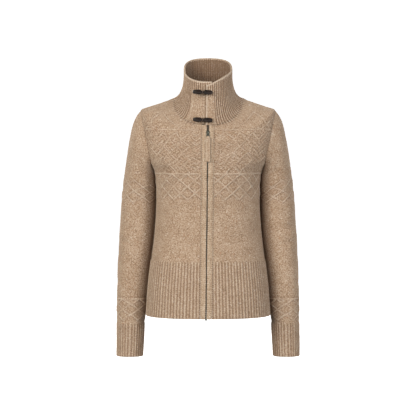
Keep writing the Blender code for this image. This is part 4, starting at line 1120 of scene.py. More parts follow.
def panel_width(levels, places, back, side):
    """Unrolled widths of a panel's grid points: its even columns, squeezed to its real edges."""
    edge = outer_edge(levels, back)
    if back:
        return np.array([np.interp(places, (-QUARTER, -110, 110, QUARTER), (-e, -110, 110, e)) for e in edge])
    inner = zip_w(levels, side)
    rows = [np.interp(places, (places[0], 40, 110, QUARTER), (i, 40, 110, e)) for i, e in zip(inner, edge)]
    return np.array(rows) * side


print("rows of a panel:", len(body_levels(FINE_STEP, PLAIN_STEP, RIB_STEP)))

# %% [markdown]
# The relief of a body panel is drawn in layers: cables, ribs, moss stitch inside the trellis and
# knots in the yoke, then the soft folds, the dip along each seam, and the collar's ribs on top.
# Beside the sleeves nothing swells outwards, because the arms press the cloth flat there.

# %% Relief of the body
SEAM_DIP = 0.5
PATTERN_TOP = 66.0


def panel_lift(w, levels, points, back, sides, phase, table):
    """Height over the wall's plain face, and painted light and shade, of the body's outer face."""
    v = np.broadcast_to(levels[:, None], w.shape)
    pitch = QUARTER / BODY_DIAMONDS
    left = w.min()
    right = w.max()
    lines = lattice(left, right, LATTICE_TOP, LATTICE_FOOT, pitch, phase)
    lines.append(((left, LATTICE_TOP), (right, LATTICE_TOP)))
    for side in sides:
        lines += yoke(back, side, not back)
    band = slice(*np.searchsorted(levels, (LATTICE_FOOT - 4, PATTERN_TOP)))
    lift = np.zeros(w.shape)
    painted_shading = np.zeros(w.shape)
    lift[band], painted_shading[band] = ropes(w[band], v[band], lines)
    wave, rib_painted_shading = rib_wave(w / RIB, v, HEM_RIB_TOP)
    inside = ease((v - LATTICE_FOOT) / 4) * ease((TIP + 6 - v) / 12)
    moss = np.sin(2 * math.pi * w / MOSS) * np.sin(2 * math.pi * v / MOSS) * inside
    aran = ease((v - LATTICE_TOP - 3) / 4) * ease((TIP - v) / 12)
    knots = np.sin(w / 1.9 + 2 * np.sin(v / 6.0)) * np.sin(v / 1.6 + 2 * np.sin(w / 7.0)) * aran
    # painted light and shade: moss and knot crests lighter, hollows darker; in the yoke the cables' painting
    # is weaker and the colour a little darker
    painted_shading *= 1 - 0.22 * aran
    lift += RIB_RISE * wave + MOSS_RISE * moss + KNOT_RISE * knots
    painted_shading += rib_painted_shading + 0.25 * moss + 0.45 * knots - 0.06 * aran
    flank = ease((np.abs(w) - 140) / 40) * ease((UNDERARM + 14 - v) / 20)  # beside the sleeves
    soft = UNEVEN * hand_knit(points) + folds(w, v, on_cloth(table, back))
    lift += soft * (1 - flank) + np.minimum(soft, 0) * flank
    edge = np.abs(w[:, [0, -1]])
    to_seam = np.minimum(np.abs(np.abs(w) - edge[:, :1]), np.abs(np.abs(w) - edge[:, 1:]))
    dip = SEAM_DIP * np.exp(-((to_seam / 2.0) ** 2)) * ease((NECK - v) / 20)
    top = slice(*np.searchsorted(levels, (NECK - RUN_ON[1], NECK + 1)))
    wave, run_painted_shading = ribs_below_collar(angles_at(w[top], levels[top], back), v[top], back)
    lift[top] += COLLAR_RISE[0] * wave
    painted_shading[top] += run_painted_shading
    # the seam dips are painted darker, as painted shade
    return lift - dip, np.clip(painted_shading - 0.35 * dip, -1, 1)


print("diamonds round the lattice band:", 4 * BODY_DIAMONDS)

# %% [markdown]
# The grid's edges end on planes: hem, side, armhole, shoulder, neckline and zip. A corner ends on
# two planes at once, so corners are placed after the edges that meet in them.


# %% Edges of the body
def panel_seams(levels, sides, back):
    """For each edge of the grid: rows, columns and the planes they end on, corners last."""
    seam = (SIDE_SEAM[0], SIDE_SEAM[1] * (-1 if back else 1), SEAM / 2)
    hem = (*level_plane(HEM, -1), 0.0)
    neck = (*neck_plane(back), SEAM / 2)
    under = int(np.argmin(np.abs(levels - UNDERARM)))
    tip = int(np.argmin(np.abs(levels - TIP)))
    last = len(levels) - 1
    found = [(slice(0, 1), slice(None), [hem]), (slice(last, last + 1), slice(None), [neck])]
    for column, side in sides:
        here = slice(column, column + 1) if column >= 0 else slice(-1, None)
        if side is None:
            continue
        arm = (*armhole_plane(side), SEAM / 2)
        found += [
            (slice(1, under), here, [seam]),
            (slice(under, under + 1), here, [seam, arm]),
            (slice(under + 1, tip), here, [arm]),
            (slice(tip, tip + 1), here, [arm, seam]),
            (slice(tip + 1, last), here, [seam]),
            (slice(0, 1), here, [hem, seam]),
            (slice(last, last + 1), here, [neck, seam]),
        ]
    return found


def place_face(base, normals, lift, seams):
    """A face's points: lifted off its base, with its edges on the seams' planes."""
    points = base + normals * lift[..., None]
    for rows, across, planes in seams:
        points[rows, across] = at_seam(base[rows, across], normals[rows, across], lift[rows, across], planes)
    return points

# %% [markdown]
# Each panel is made twice over, as a fine outer face and a coarse inner one 3 mm behind it, and
# joined round its edges. The hem is rounded off like a knitted edge.

# %% Fronts and back
EDGE_ROUND = 1.5  # half the wall
FRONT_START = 12.0  # unrolled width at which a front's even columns start


def make_panel(name, back, side, phase, table, material):
    """A front, on one side of the zip, or the whole back."""
    wall = Wall()
    grids = []
    sides = [(0, -1), (-1, 1)] if back else [(0, None), (-1, side)]
    for outside, fine, plain, ribbed, column in (
        (True, FINE_STEP, PLAIN_STEP, RIB_STEP, COLUMN),
        (False, INNER_STEP, 2 * INNER_STEP, 2 * INNER_STEP, INNER_STEP),
    ):
        levels = body_levels(fine, plain, ribbed)
        start = -QUARTER if back else FRONT_START
        places = np.linspace(start, QUARTER, round((QUARTER - start) / column) + 1)
        w = panel_width(levels, places, back, side)
        base, normals = body_points(w, levels, back)
        seams = panel_seams(levels, sides, back)
        if not back:
            edge = (*zip_plane(side), 0.0)
            hem = seams[0][2][0]
            neck = seams[1][2][0]
            seams += [
                (slice(1, -1), slice(0, 1), [edge]),
                (slice(0, 1), slice(0, 1), [hem, edge]),
                (slice(-1, None), slice(0, 1), [neck, edge]),
            ]
        flat = np.stack((w, np.broadcast_to(levels[:, None], w.shape)), axis=-1)
        if outside:
            size = flat_size(base)
            lift, painted_shading = panel_lift(w, levels, base, back, (-1, 1) if back else (side,), phase, table)
        else:
            lift = np.minimum(folds(w, flat[..., 1], on_cloth(table, back)), 0) - WALL
            painted_shading = np.zeros(w.shape)
        lift = -WALL / 2 + (lift + WALL / 2) * rounded_edge(levels - HEM, EDGE_ROUND)[:, None]
        grids.append(wall.grid(place_face(base, normals, lift, seams), flat, painted_shading))
    wall.join(grids)
    return wall.make(name, material), size


PIECES = {}  # the knitted pieces by the solids that they replace
SIZES = {}
PIECES["back"], SIZES["back"] = make_panel("knit_back", True, 1, 0.0, BACK_FOLDS, brushed_wool)
for side, word in SIDES:
    name = f"front_{word}"
    shift = LATTICE_SHIFT[word] * side
    made = make_panel(f"knit_{name}", False, side, shift, FRONT_FOLDS[word], brushed_wool)
    PIECES[name], SIZES[name] = made

# %% [markdown]
# A sleeve is a tube that starts as the armhole's loop and turns into an oval. Its rings are named
# by the height of their outer side. It carries two lattice bands, a ribbed cuff, and folds: a
# few across the inside of the elbow and above it, where a bent arm creases the cloth.

# %% Sleeve shape
SLEEVE_NAMES = "outer_z outer_x inner_x inner_z middle_y half_depth"
SLEEVE_ROWS = (
    (-42, 184.4, 144.2, -182.5, 1, 56),
    (-65, 194.5, 144.8, -186.5, 3, 57),
    (-99, 202.2, 143.3, -192.5, 7, 58),
    (-140, 209.6, 140.2, -202, 13, 58),
    (-182, 216.0, 137.6, -217, 20, 57.5),
    (-224, 221.2, 136.3, -238, 26, 57),
    (-265, 225.6, 136.4, -268, 30, 56),
    (-328, 230.0, 139.0, -328, 31, 52),
    (-390, 233.8, 145.5, -390, 31, 47),
    (-452, 237.0, 153.0, -452, 30, 43),
    (-494, 238.2, 158.2, -494, 29, 41),
    (-546, 238.4, 164.0, -546, 27, 38),
    (-572, 238.4, 165.5, -572, 26, 36.5),
    (-620, 238.4, 168.0, -620, 24, 33),
    (-669, 238.8, 171.0, -669, 22, 31),
)
SLEEVE = columns(SLEEVE_NAMES, SLEEVE_ROWS + ((TIP, ARMHOLE_HIGH[0], *UNDERARM_POINT, 0.0, 54.0),))
CAP_BLEND = -150.0  # below this ring a sleeve no longer has the armhole's outline
SLEEVE_FLAT = 280.0
CUFF_RIBS = 32
ARM_LATTICE = (-198.0, -263.0)
ARM_DIAMONDS = 7
LOW_LATTICE = (-517.0, -572.0)
LOW_DIAMONDS = 6
CUFF_RIB_TOP = -578.0
SLEEVE_FOLDS = (  # round the tube from the inner side over the front, and the ring's height
    (96, -330, 12, 40, 9, -2.2),
    (110, -352, -6, 46, 8, 1.5),
    (92, -372, 10, 40, 8, -2.0),
    (118, -398, -12, 36, 9, -1.6),
    (84, -298, -16, 34, 10, -1.5),
    (112, -276, 18, 32, 10, 1.3),
    (104, -432, 8, 34, 11, -1.3),
    (70, -150, 66, 40, 10, -1.6),
    (206, -340, -14, 44, 10, -2.0),
    (196, -368, 8, 44, 9, -1.8),
    (212, -300, 10, 36, 11, -1.5),
    (190, -404, -10, 38, 10, -1.4),
    (218, -168, -60, 38, 10, -1.5),
    (140, -474, 6, 40, 12, -1.1),
)
ARM_COLUMNS = CUFF_RIBS * 5
INNER_ARM_COLUMNS = 36
SLIT_FILL = (  # z, and how far the brushed cloth swells there to fill the slit beside the body
    (-580, 0.0),
    (-566, 1.0),
    (-546, 4.4),
    (-494, 2.6),
    (-452, 2.0),
    (-390, 2.2),
    (-328, 2.2),
    (-268, 3.0),
    (-234, 3.6),
    (-217, 4.2),
    (-200, 5.6),
    (-180, 6.6),
    (-172, 5.0),
)


def armhole_outline(back):
    """The armhole's depth by the share of its length."""
    span = np.array(ARMHOLE_HIGH) - UNDERARM_POINT
    levels = UNDERARM + (TIP - UNDERARM) * ease(np.linspace(0, 1, 60)[1:-1])
    points = torso(meeting_angle(levels, FINE, back, armhole_x), levels, back)
    shares = (points[:, [0, 2]] - UNDERARM_POINT) @ span / (span @ span)
    return np.concatenate(([0], shares, [1])), np.concatenate(([0], np.abs(points[:, 1]), [0]))


FRONT_HOLE = armhole_outline(False)
BACK_HOLE = armhole_outline(True)


def sleeve_points(turn, level, side):
    """Points of a sleeve's outer face."""

    def read(name):
        return curve(level, SLEEVE["outer_z"], SLEEVE[name])

    along = 0.5 - 0.5 * power(np.cos(turn), 2 / ROUNDNESS)
    oval = np.abs(np.sin(turn)) ** (2 / ROUNDNESS)
    behind = np.sin(turn) < 0
    hole = np.where(behind, np.interp(along, *BACK_HOLE), np.interp(along, *FRONT_HOLE))
    blend = ease((level - CAP_BLEND) / (TIP - CAP_BLEND))
    depth = read("half_depth") * oval * (1 - blend) + hole * blend
    y = read("middle_y") + np.where(behind, depth, -depth)
    x = read("inner_x") + (read("outer_x") - read("inner_x")) * along
    z = read("inner_z") + (level - read("inner_z")) * along
    return np.stack((x * side, y, z), axis=-1)


def sleeve_face(turn, level, side):
    """Points of a sleeve's outer face and the directions straight out of it."""
    small = 0.004
    points = sleeve_points(turn, level, side)
    round_it = sleeve_points(turn + small, level, side) - sleeve_points(turn - small, level, side)
    above = sleeve_points(turn, np.minimum(level + 0.6, TIP), side)
    below = sleeve_points(turn, np.maximum(level - 0.6, CUFF), side)
    return points, unit(np.cross(round_it, above - below)) * side


elbow = sleeve_points(np.array(math.pi), np.array(-328.0), 1)
print("outside of the elbow:", elbow.round(1).tolist())

# %% [markdown]
# A sleeve's relief has the same layers as the body's. On the side that lies against the body the
# cloth is painted darker, as painted shade where the body shades it; it has no folds that swell,
# and the fuzz of both pieces meets, so the wall is built out there until only a thin slit is left.


# %% Relief of a sleeve
def sleeve_lift(w, v, turn, base):
    """Height over the wall's plain face, and painted light and shade, of a sleeve's outer face."""
    bands = lattice(0, SLEEVE_FLAT, *ARM_LATTICE, SLEEVE_FLAT / ARM_DIAMONDS, 0.0)
    bands += lattice(0, SLEEVE_FLAT, *LOW_LATTICE, SLEEVE_FLAT / LOW_DIAMONDS, 0.0)
    bands.append(((0, LOW_LATTICE[0]), (SLEEVE_FLAT, LOW_LATTICE[0])))
    lift, painted_shading = ropes(w, v, bands)
    wave, rib_painted_shading = rib_wave(w / SLEEVE_FLAT * CUFF_RIBS, v, CUFF_RIB_TOP)
    patterned = ease((v - ARM_LATTICE[1]) / 4) * ease((ARM_LATTICE[0] - v) / 4)
    patterned += ease((v - LOW_LATTICE[1]) / 4) * ease((LOW_LATTICE[0] - v) / 4)
    moss = np.sin(2 * math.pi * w / MOSS) * np.sin(2 * math.pi * v / MOSS) * patterned
    outward = ease((0.8 - np.cos(turn)) / 0.8)  # no swelling towards the body
    soft = UNEVEN * hand_knit(base) + folds(w, v, SLEEVE_FOLDS)
    dip = SEAM_DIP * np.exp(-(((TIP - v) / 2.4) ** 2))
    lift = lift + RIB_RISE * wave + MOSS_RISE * moss
    lift = lift + soft * outward + np.minimum(soft, 0) * (1 - outward) - dip
    fill = np.interp(base[..., 2], *np.array(SLIT_FILL, dtype=float).T) * ease((TIP - v) / 16)
    lift = lift + fill * ease((np.cos(turn) - 0.55) / 0.4)
    # painted shade: darker on the side that lies against the body, where the body shades it, and in the
    # seam's dip
    shade_beside_body = ease((np.cos(turn) - 0.2) / 0.7)
    painted_shading = painted_shading + rib_painted_shading + 0.22 * moss - 0.35 * dip - 0.7 * shade_beside_body
    return lift, np.clip(painted_shading, -1, 1)


print("columns round a sleeve:", ARM_COLUMNS)

# %% [markdown]
# The sleeve is sewn to the body in the armhole's plane, and its cuff is rounded off like the hem.
# Its grids are wrapped, so the cloth closes round the arm, and both ends stay open.


# %% Sleeves
def sleeve_levels(fine, plain, ribbed):
    """Rows of a sleeve, closer at the cuff's edge and in the lattice bands."""
    return steps(
        (CUFF, 0.4),
        (CUFF + 1.6, ribbed),
        (CUFF_RIB_TOP - RIB_FADE, min(ribbed, 2.4)),
        (CUFF_RIB_TOP + 2, fine),
        (LOW_LATTICE[0] + 4, plain),
        (ARM_LATTICE[1] - 4, fine),
        (ARM_LATTICE[0] + 4, min(plain, 2.6)),
        (TIP - 3, 1.0),
        (TIP, 1.0),
    )


def make_sleeve(name, side, material):
    """One sleeve, closed round the arm and open at both ends."""
    wall = Wall()
    grids = []
    origin, normal = armhole_plane(side)
    seam = [(origin, -normal, SEAM / 2)]
    cuff = [(*level_plane(CUFF, -1), 0.0)]
    seams = [(slice(0, 1), slice(None), cuff), (slice(-1, None), slice(None), seam)]
    for outside, rows, count in (
        (True, (FINE_STEP, PLAIN_STEP, RIB_STEP), ARM_COLUMNS),
        (False, (INNER_STEP, 2 * INNER_STEP, 2 * INNER_STEP), INNER_ARM_COLUMNS),
    ):
        levels = sleeve_levels(*rows)
        level = levels[:, None]
        w = np.broadcast_to(np.arange(count) * SLEEVE_FLAT / count, (len(levels), count))
        v = np.broadcast_to(level, w.shape)
        turn = w / SLEEVE_FLAT * 2 * math.pi
        base, normals = sleeve_face(turn, level, side)
        if outside:
            size = flat_size(np.concatenate((base, base[:, :1]), axis=1))
            lift, painted_shading = sleeve_lift(w, v, turn, base)
        else:
            lift = np.minimum(folds(w, v, SLEEVE_FOLDS), 0) - WALL
            painted_shading = np.zeros(w.shape)
        lift = -WALL / 2 + (lift + WALL / 2) * rounded_edge(levels - CUFF, EDGE_ROUND)[:, None]
        points = place_face(base, normals, lift, seams)
        grids.append(wall.grid(points, np.stack((w, v), axis=-1), painted_shading, wrapped=True))
    wall.join(grids, wrapped=True)
    return wall.make(name, material, SLEEVE_FLAT), size


for side, word in SIDES:
    name = f"sleeve_{word}"
    PIECES[name], SIZES[name] = make_sleeve(f"knit_{name}", side, brushed_wool)

# %% [markdown]
# The collar's wall has a rounded free edge at both ends. Its left end is a smooth band, which the
# right end covers. The ribs start at full height on the neckline, where the body's ones end.

# %% Collar
RIB_COLUMNS = 6  # columns of points in a rib
FREE_ENDS = np.array((0.06, 0.13))  # closer columns at each end, in ribs
RUBBED_BAND = 0.85  # how much of the ribs is missing on the smooth bands


def collar_columns():
    """The ribs' phase and the unrolled width of each column of points, and the rim's length."""
    across, length = rim_lengths()
    ribs = np.linspace(0, COLLAR_RIBS, COLLAR_RIBS * RIB_COLUMNS + 1)
    ribs = np.sort(np.concatenate((ribs, FREE_ENDS, COLLAR_RIBS - FREE_ENDS)))
    return ribs, np.interp(ribs / COLLAR_RIBS * length[-1], length, across), length[-1]


def collar_layers(ribs, w, v, degrees, to_end, soft):
    """Height over the wall's plain face, and painted light and shade, of the outside and of the inside."""
    rise_out, rise_in = COLLAR_RISE
    from_rim = COLLAR_HIGH - v
    height = v / COLLAR_HIGH
    wave = 0.5 - 0.5 * np.cos(2 * math.pi * ribs)
    uneven = 1 + 0.12 * np.sin(2.4 * np.floor(ribs)) + 0.06 * np.sin(v / 11 + 1.9 * np.floor(ribs))
    bead = np.exp(-(((from_rim - 1.6) / 1.4) ** 2))
    bead_stitch = 0.75 + 0.25 * np.cos(2 * math.pi * w / 3.7)
    band = np.where(degrees < 180, ease((degrees - 9) / 5), ease((BAND_TURN - degrees) / 5))
    ribbed = 1 - (1 - band) * ease((0.86 - height) / 0.12) * RUBBED_BAND
    ridge = np.exp(-(((degrees - BAND_TURN - 2) / 1.6) ** 2)) * ease((0.92 - height) / 0.1)
    free_edge = np.exp(-(((to_end - 1.7) / 1.3) ** 2)) * (degrees < 180)
    shown = ease(from_rim / RIM_BEAD)
    drawn = shown * ribbed * ease((v + 9) / 10)
    outer = rise_out * wave**0.8 * uneven * drawn + 0.9 * bead * bead_stitch
    outer = outer + 0.9 * ridge + 0.7 * free_edge + soft
    # painted light and shade: rib valleys darker; the rim's bead, the band's ridge and the free edge lighter
    # as painted highlights
    outer_painted_shading = (wave * 1.6 - 1.15) * drawn + 1.0 * bead + 0.4 * ridge + 0.9 * free_edge
    inner = -WALL + rise_in * wave * shown - 0.3 * bead * bead_stitch
    inner_painted_shading = (-0.45 - wave * 1.5) * shown + 0.9 * bead  # painted shade: the whole inside darker, its valleys darker still, its rim's bead lighter
    return (outer, np.clip(outer_painted_shading, -1, 1)), (inner, np.clip(inner_painted_shading, -1, 1))


def make_collar(material):
    """The collar's wall, ribbed on both faces, its ends and rim rounded."""
    ribs, across, rim_length = collar_columns()
    levels = steps((0, 2.2), (COLLAR_HIGH - 4, 1.0), (COLLAR_HIGH - 1.6, 0.4), (COLLAR_HIGH, 0.4))
    w = np.broadcast_to(across, (len(levels), len(across)))
    v = np.broadcast_to(levels[:, None], w.shape)
    base, normals = collar_face(w, v)
    degrees = np.degrees(collar_turn(w))
    ahead = (degrees[0] < 90) | (degrees[0] > 270)
    to_end = np.minimum(w, COLLAR_FLAT - w) * rim_length / COLLAR_FLAT
    thick = rounded_edge(COLLAR_HIGH - v, EDGE_ROUND) * rounded_edge(to_end, EDGE_ROUND)
    wall = Wall()
    grids = []
    for lift, painted_shading in collar_layers(ribs, w, v, degrees, to_end, 0.35 * hand_knit(base)):
        lift = -WALL / 2 + (lift + WALL / 2) * thick
        points = base + normals * lift[..., None]
        for here, (origin, normal) in ((ahead, neck_plane(False)), (~ahead, neck_plane(True))):
            seam = [(origin, -normal, SEAM / 2)]
            points[0, here] = at_seam(base[0, here], normals[0, here], lift[0, here], seam)
        grids.append(wall.grid(points, np.stack((w, v), axis=-1), painted_shading))
    wall.join(grids)
    return wall.make("knit_collar", material), flat_size(base)


PIECES["collar"], SIZES["collar"] = make_collar(brushed_wool)

# %% [markdown]
# Brushing pulls loose fibres out of the yarn, which blur the outline and soften the shade. Each
# tuft is a thin bent spindle rooted in the cloth: one shape, copied by numpy to random places on
# the outer face. A tuft is drawn about 0.2 mm thick, as a few fibres together, since a
# single one of 0.03 mm is finer than a picture of the whole garment shows.

# %% Fuzz
FUZZ_LENGTH = (2.0, 4.6)
FUZZ_RADIUS = 0.1
FUZZ_AREA = 28.0  # square millimetres of cloth for each tuft
TUFT_FACES = ((0, 2, 1), (0, 3, 2), (0, 1, 3), (4, 1, 2), (4, 2, 3), (4, 3, 1))  # root 0, tip 4

loose_wool, tree, shader = new_material("loose_wool_fibres", Roughness=0.95, IOR=1.55)
shader.inputs["Specular IOR Level"].default_value = 0.1
here = add(tree, "TexCoord").outputs["Object"]
fleece = add(tree, "TexNoise", {"Scale": 1 / (3 * MM), "Detail": 1.0}, {"Vector": here})
tone = add(tree, "ValToRGB", links={"Fac": fleece.outputs["Fac"]})
tone.color_ramp.elements[0].position = 0.35
tone.color_ramp.elements[0].color = linear("#8A7058")
tone.color_ramp.elements[1].position = 0.7
tone.color_ramp.elements[1].color = linear("#D3C4B1")
tree.links.new(tone.outputs["Color"], shader.inputs["Base Color"])


def outer_quads(piece):
    """The corners of a piece's outer faces, in millimetres."""
    mesh = piece.data
    places = np.zeros(len(mesh.vertices) * 3, dtype=np.float32)
    mesh.vertices.foreach_get("co", places)
    corners = np.zeros(len(mesh.loops), dtype=np.int32)
    mesh.loops.foreach_get("vertex_index", corners)
    quads = corners[: OUTER_FACES[piece.name] * 4].reshape(-1, 4)
    return places.reshape(-1, 3)[quads].astype(float) / MM


def make_fuzz(piece, name, seed):
    """Short bent tufts that stand out of one piece's outer face."""
    rng = np.random.default_rng(seed)
    quads = outer_quads(piece)
    across = np.cross(quads[:, 2] - quads[:, 0], quads[:, 3] - quads[:, 1]) / 2
    area = np.linalg.norm(across, axis=1)
    count = int(area.sum() / FUZZ_AREA)
    chosen = rng.choice(len(quads), count, p=area / area.sum())
    a, b = rng.random((2, count, 1))
    quad = quads[chosen]
    lower = quad[:, 0] * (1 - a) + quad[:, 1] * a
    upper = quad[:, 3] * (1 - a) + quad[:, 2] * a
    root = lower * (1 - b) + upper * b
    normal = unit(across[chosen])
    way = unit(normal * 0.8 + rng.normal(0, 0.5, (count, 3)) + np.array((0.0, 0.0, -0.2)))
    bend = unit(way + rng.normal(0, 0.6, (count, 3)))
    length = rng.uniform(*FUZZ_LENGTH, (count, 1))
    middle = root + way * length * 0.45
    side = unit(np.cross(way, np.array((0.31, 0.17, 0.93))))
    other = np.cross(way, side)
    turns = np.linspace(0, 2 * math.pi, 3, endpoint=False)
    ring = [middle + FUZZ_RADIUS * (math.cos(turn) * side + math.sin(turn) * other) for turn in turns]
    points = np.stack([root - normal * 0.4, *ring, middle + bend * length * 0.55], axis=1)
    faces = (np.arange(count)[:, None, None] * 5 + np.array(TUFT_FACES)).reshape(-1, 3)
    tufts = bpy.data.meshes.new(name)
    tufts.from_pydata((points.reshape(-1, 3) * MM).tolist(), [], faces.tolist())
    tufts.materials.append(loose_wool)
    print(f"{name}: {count} tufts, {len(faces)} triangles")
    return add_object(name, tufts)


for number, (part, piece) in enumerate(PIECES.items()):
    fuzz = make_fuzz(piece, f"fuzz_{part}", number)
    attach(fuzz, SHIRT)

# %% [markdown]
# Long thin trims are swept: a ring of points is carried along a path and neighbouring rings are
# joined. The helpers below make the rings for yarn, wire and cord, and add a closed tube to a wall.


# %% Swept tubes
def tube_rings(path, radius, sides, closed=False):
    """Rings of points round a path. Each ring starts on the same side as the one before it."""
    path = np.asarray(path, dtype=float)
    if closed:
        ways = unit(np.roll(path, -1, axis=0) - np.roll(path, 1, axis=0))
    else:
        ways = unit(np.concatenate((path[1:], path[-1:])) - np.concatenate((path[:1], path[:-1])))
    lead = (0.0, 0.0, 1.0) if abs(ways[0][2]) < 0.9 else (1.0, 0.0, 0.0)
    aside = np.cross(ways[0], lead)
    turns = np.linspace(0, 2 * math.pi, sides, endpoint=False)
    rings = []
    for point, way, size in zip(path, ways, np.broadcast_to(radius, len(path))):
        aside = unit(aside - (aside @ way) * way)
        other = np.cross(way, aside)
        rings.append(point + size * (np.cos(turns)[:, None] * aside + np.sin(turns)[:, None] * other))
    return np.array(rings)


def ring_map(rings):
    """Unrolled places of a tube's points in millimetres: round it and along it."""
    round_it = np.linalg.norm(np.diff(rings, axis=1), axis=2).mean(axis=0)
    u = np.concatenate(([0], np.cumsum(round_it)))
    v = lengths_along(rings.mean(axis=1))
    return np.stack(np.broadcast_arrays(u[None, :], -v[:, None]), axis=-1)


def add_tube(wall, rings, painted_shading=0.0):
    """Adds a closed tube with a face at each end."""
    numbers = wall.grid(rings, ring_map(rings), painted_shading, wrapped=True)
    wall.cap(numbers[0])
    wall.cap(numbers[-1])


def add_loop(wall, rings):
    """Adds a tube whose last ring joins its first."""
    closed = np.concatenate((rings, rings[:1]))
    numbers = wall.grid(rings, ring_map(closed)[:-1], 0.0, wrapped=True)
    wall.stitch([*numbers[-1].tolist(), int(numbers[-1][0])], [*numbers[0].tolist(), int(numbers[0][0])])


def beside_zip(away, z, out):
    """Points beside the zip's line, moved out from the fronts' face."""
    points, normals = torso_face(*seen(zip_x(z) + away, z))
    return points + normals * out[..., None]


def superellipse(count, half_width, half_height, exponent):
    """Points round a rounded oblong."""
    turns = np.linspace(0, 2 * math.pi, count, endpoint=False)
    return half_width * power(np.cos(turns), 2 / exponent), half_height * power(np.sin(turns), 2 / exponent)


print("a 10 mm tube has rings of shape", tube_rings([(0, 0, 0), (0, 0, 10)], 1.0, 6).shape)

# %% [markdown]
# Each front ends in a narrow binding, knitted double and folded round the zip's tape. It is
# plumper and smoother than the body, and its stitched edges are slightly scalloped. Below the
# slider the inner edges lean over the teeth, so the zip shows only as a thin dark line.

# %% Bindings
BINDING = (2.6, 15.1)  # from the zip's line
BINDING_TOP = 1.7  # over the fronts' face
BINDING_SINK = 3.4
ZIP_TOP = -69.0
SLIDER_Z = -87.0
BINDING_START = -65.3  # it is sewn in under the collar
OVERHANG = 1.75  # how far the inner edge leans over the teeth
OVERHANG_FROM = (-104.0, -150.0)
EDGE_STITCH = 5.2


def make_binding(side, word):
    """One binding, from under the collar to the hem."""
    near_edge, far_edge = BINDING
    heights = np.concatenate((np.linspace(BINDING_START, HEM + 2, 380), [HEM + 0.6, HEM]))
    a, b = superellipse(30, (far_edge - near_edge) / 2, (BINDING_TOP + BINDING_SINK) / 2, 3.4)
    z = np.broadcast_to(heights[:, None], (len(heights), len(a)))
    end = rounded_edge(z - HEM, EDGE_ROUND)
    upper = ease(b / 1.2)
    inner = ease(-a / 4)
    outer = ease(a / 4)
    scallop = np.cos(2 * math.pi * z / EDGE_STITCH + (0.6 if side > 0 else 0))
    wobble = 0.6 * np.sin(z / 31 + 2.6 * side) + 0.4 * np.sin(z / 11.0 + 2 * side)
    lean = OVERHANG * ease((OVERHANG_FROM[0] - z) / (OVERHANG_FROM[0] - OVERHANG_FROM[1]))
    away = (near_edge + far_edge) / 2 + a * end
    away = away - (lean * (0.82 + 0.18 * wobble) + 0.15 * scallop * (lean > 0.2)) * inner * upper
    away = away + (0.3 + 0.2 * scallop) * outer * upper
    out = (BINDING_TOP - BINDING_SINK) / 2 + b * (0.55 + 0.45 * end)
    out = out + 0.12 * scallop * (inner + outer) * upper + 0.1 * wobble * upper - 0.7 * outer * upper
    seam_line = np.exp(-(((a - 3.4) / 0.7) ** 2)) * upper
    out = out - 0.35 * seam_line
    # painted light and shade: the scalloped edges' crests and the top lighter, the seam line's groove darker
    painted_shading = np.clip(0.3 * scallop * (inner + outer) * upper - 0.3 * seam_line + 0.1 * upper, -1, 1)
    wall = Wall()
    points = beside_zip(away * side, z, out)
    points[-1, :, 2] = HEM
    add_tube(wall, points, painted_shading)
    return wall.make(f"knit_binding_{word}", binding_wool)


print("bindings:", round(BINDING_START - HEM, 1), "mm long,", round(BINDING[1] - BINDING[0], 1), "mm wide")

# %% [markdown]
# Each binding is sewn to its front by hand with the same yarn: a short bar every 5.2 mm, which
# crosses the seam a little askew. The bars swell in the middle, where the yarn isn't pulled tight.

# %% Seam stitches
STITCH_AWAY = (12.9, 13.9, 15.3, 16.7, 17.6)  # from the zip's line
STITCH_OUT = (0.7, 1.75, 1.9, 1.0, -0.1)
STITCH_RADIUS = (0.35, 0.6, 0.65, 0.6, 0.35)


def make_seam_stitches(side, word):
    """The yarn that sews a binding to its front."""
    wall = Wall()
    rng = np.random.default_rng(7 + side)
    for z in np.arange(ZIP_TOP - 10, HEM + 4, -EDGE_STITCH):
        tilt = rng.uniform(0.4, 1.5)
        high = z + rng.uniform(-0.4, 0.4)
        away = np.array(STITCH_AWAY) + rng.uniform(-0.2, 0.2)
        path = beside_zip(away * side, np.linspace(high, high - tilt, 5), np.array(STITCH_OUT))
        # the bars are painted lighter all over, as a painted highlight
        add_tube(wall, tube_rings(path, STITCH_RADIUS, 6), 0.5)
    return wall.make(f"seam_stitches_{word}", binding_wool)


TRIMS = []  # each trim's object, body, slot and the solids that it replaces
for side, word in SIDES:
    TRIMS.append((make_binding(side, word), SHIRT, "oatmeal_wool", [f"binding_{word}"]))
    TRIMS.append((make_seam_stitches(side, word), SHIRT, "oatmeal_wool", []))

# %% [markdown]
# The zip is metal, with a woven polyester tape. Polyester has a slight sheen and an IOR of 1.58; its
# weave of 0.5 mm is drawn at 1.1 mm, the finest that shows. The teeth are cast zinc with a
# gunmetal plating: dark, a little green, satin, with brighter worn tops. Metals keep Blender's
# default IOR and get their look from metallic, colour and roughness.

# %% Zip materials
WEAVE = 1.1  # mm from thread to thread

woven_tape, tree, shader = new_material("woven_polyester_tape", Roughness=0.75, IOR=1.58, Sheen_Weight=0.2)
cloth = add(tree, "UVMap", uv_map="knit").outputs["UV"]
threads = {"Scale": 1 / WEAVE, "Distortion": 0.6}
weave = add(tree, "TexWave", threads, {"Vector": cloth}, bands_direction="Y").outputs["Fac"]
worn = add(tree, "TexNoise", {"Scale": 300.0}, {"Vector": add(tree, "TexCoord").outputs["Object"]})
both = {0: weave, 2: worn.outputs["Fac"]}
blend = add(tree, "Math", {1: 0.4}, both, operation="MULTIPLY_ADD")
shade = add(tree, "ValToRGB", links={"Fac": blend.outputs[0]})
shade.color_ramp.elements[0].color = linear("#241C16")
shade.color_ramp.elements[1].color = linear("#4A3C30")
woven = add(tree, "Bump", {"Strength": 0.5, "Distance": 0.2 * MM}, {"Height": weave})
tree.links.new(shade.outputs["Color"], shader.inputs["Base Color"])
tree.links.new(woven.outputs["Normal"], shader.inputs["Normal"])

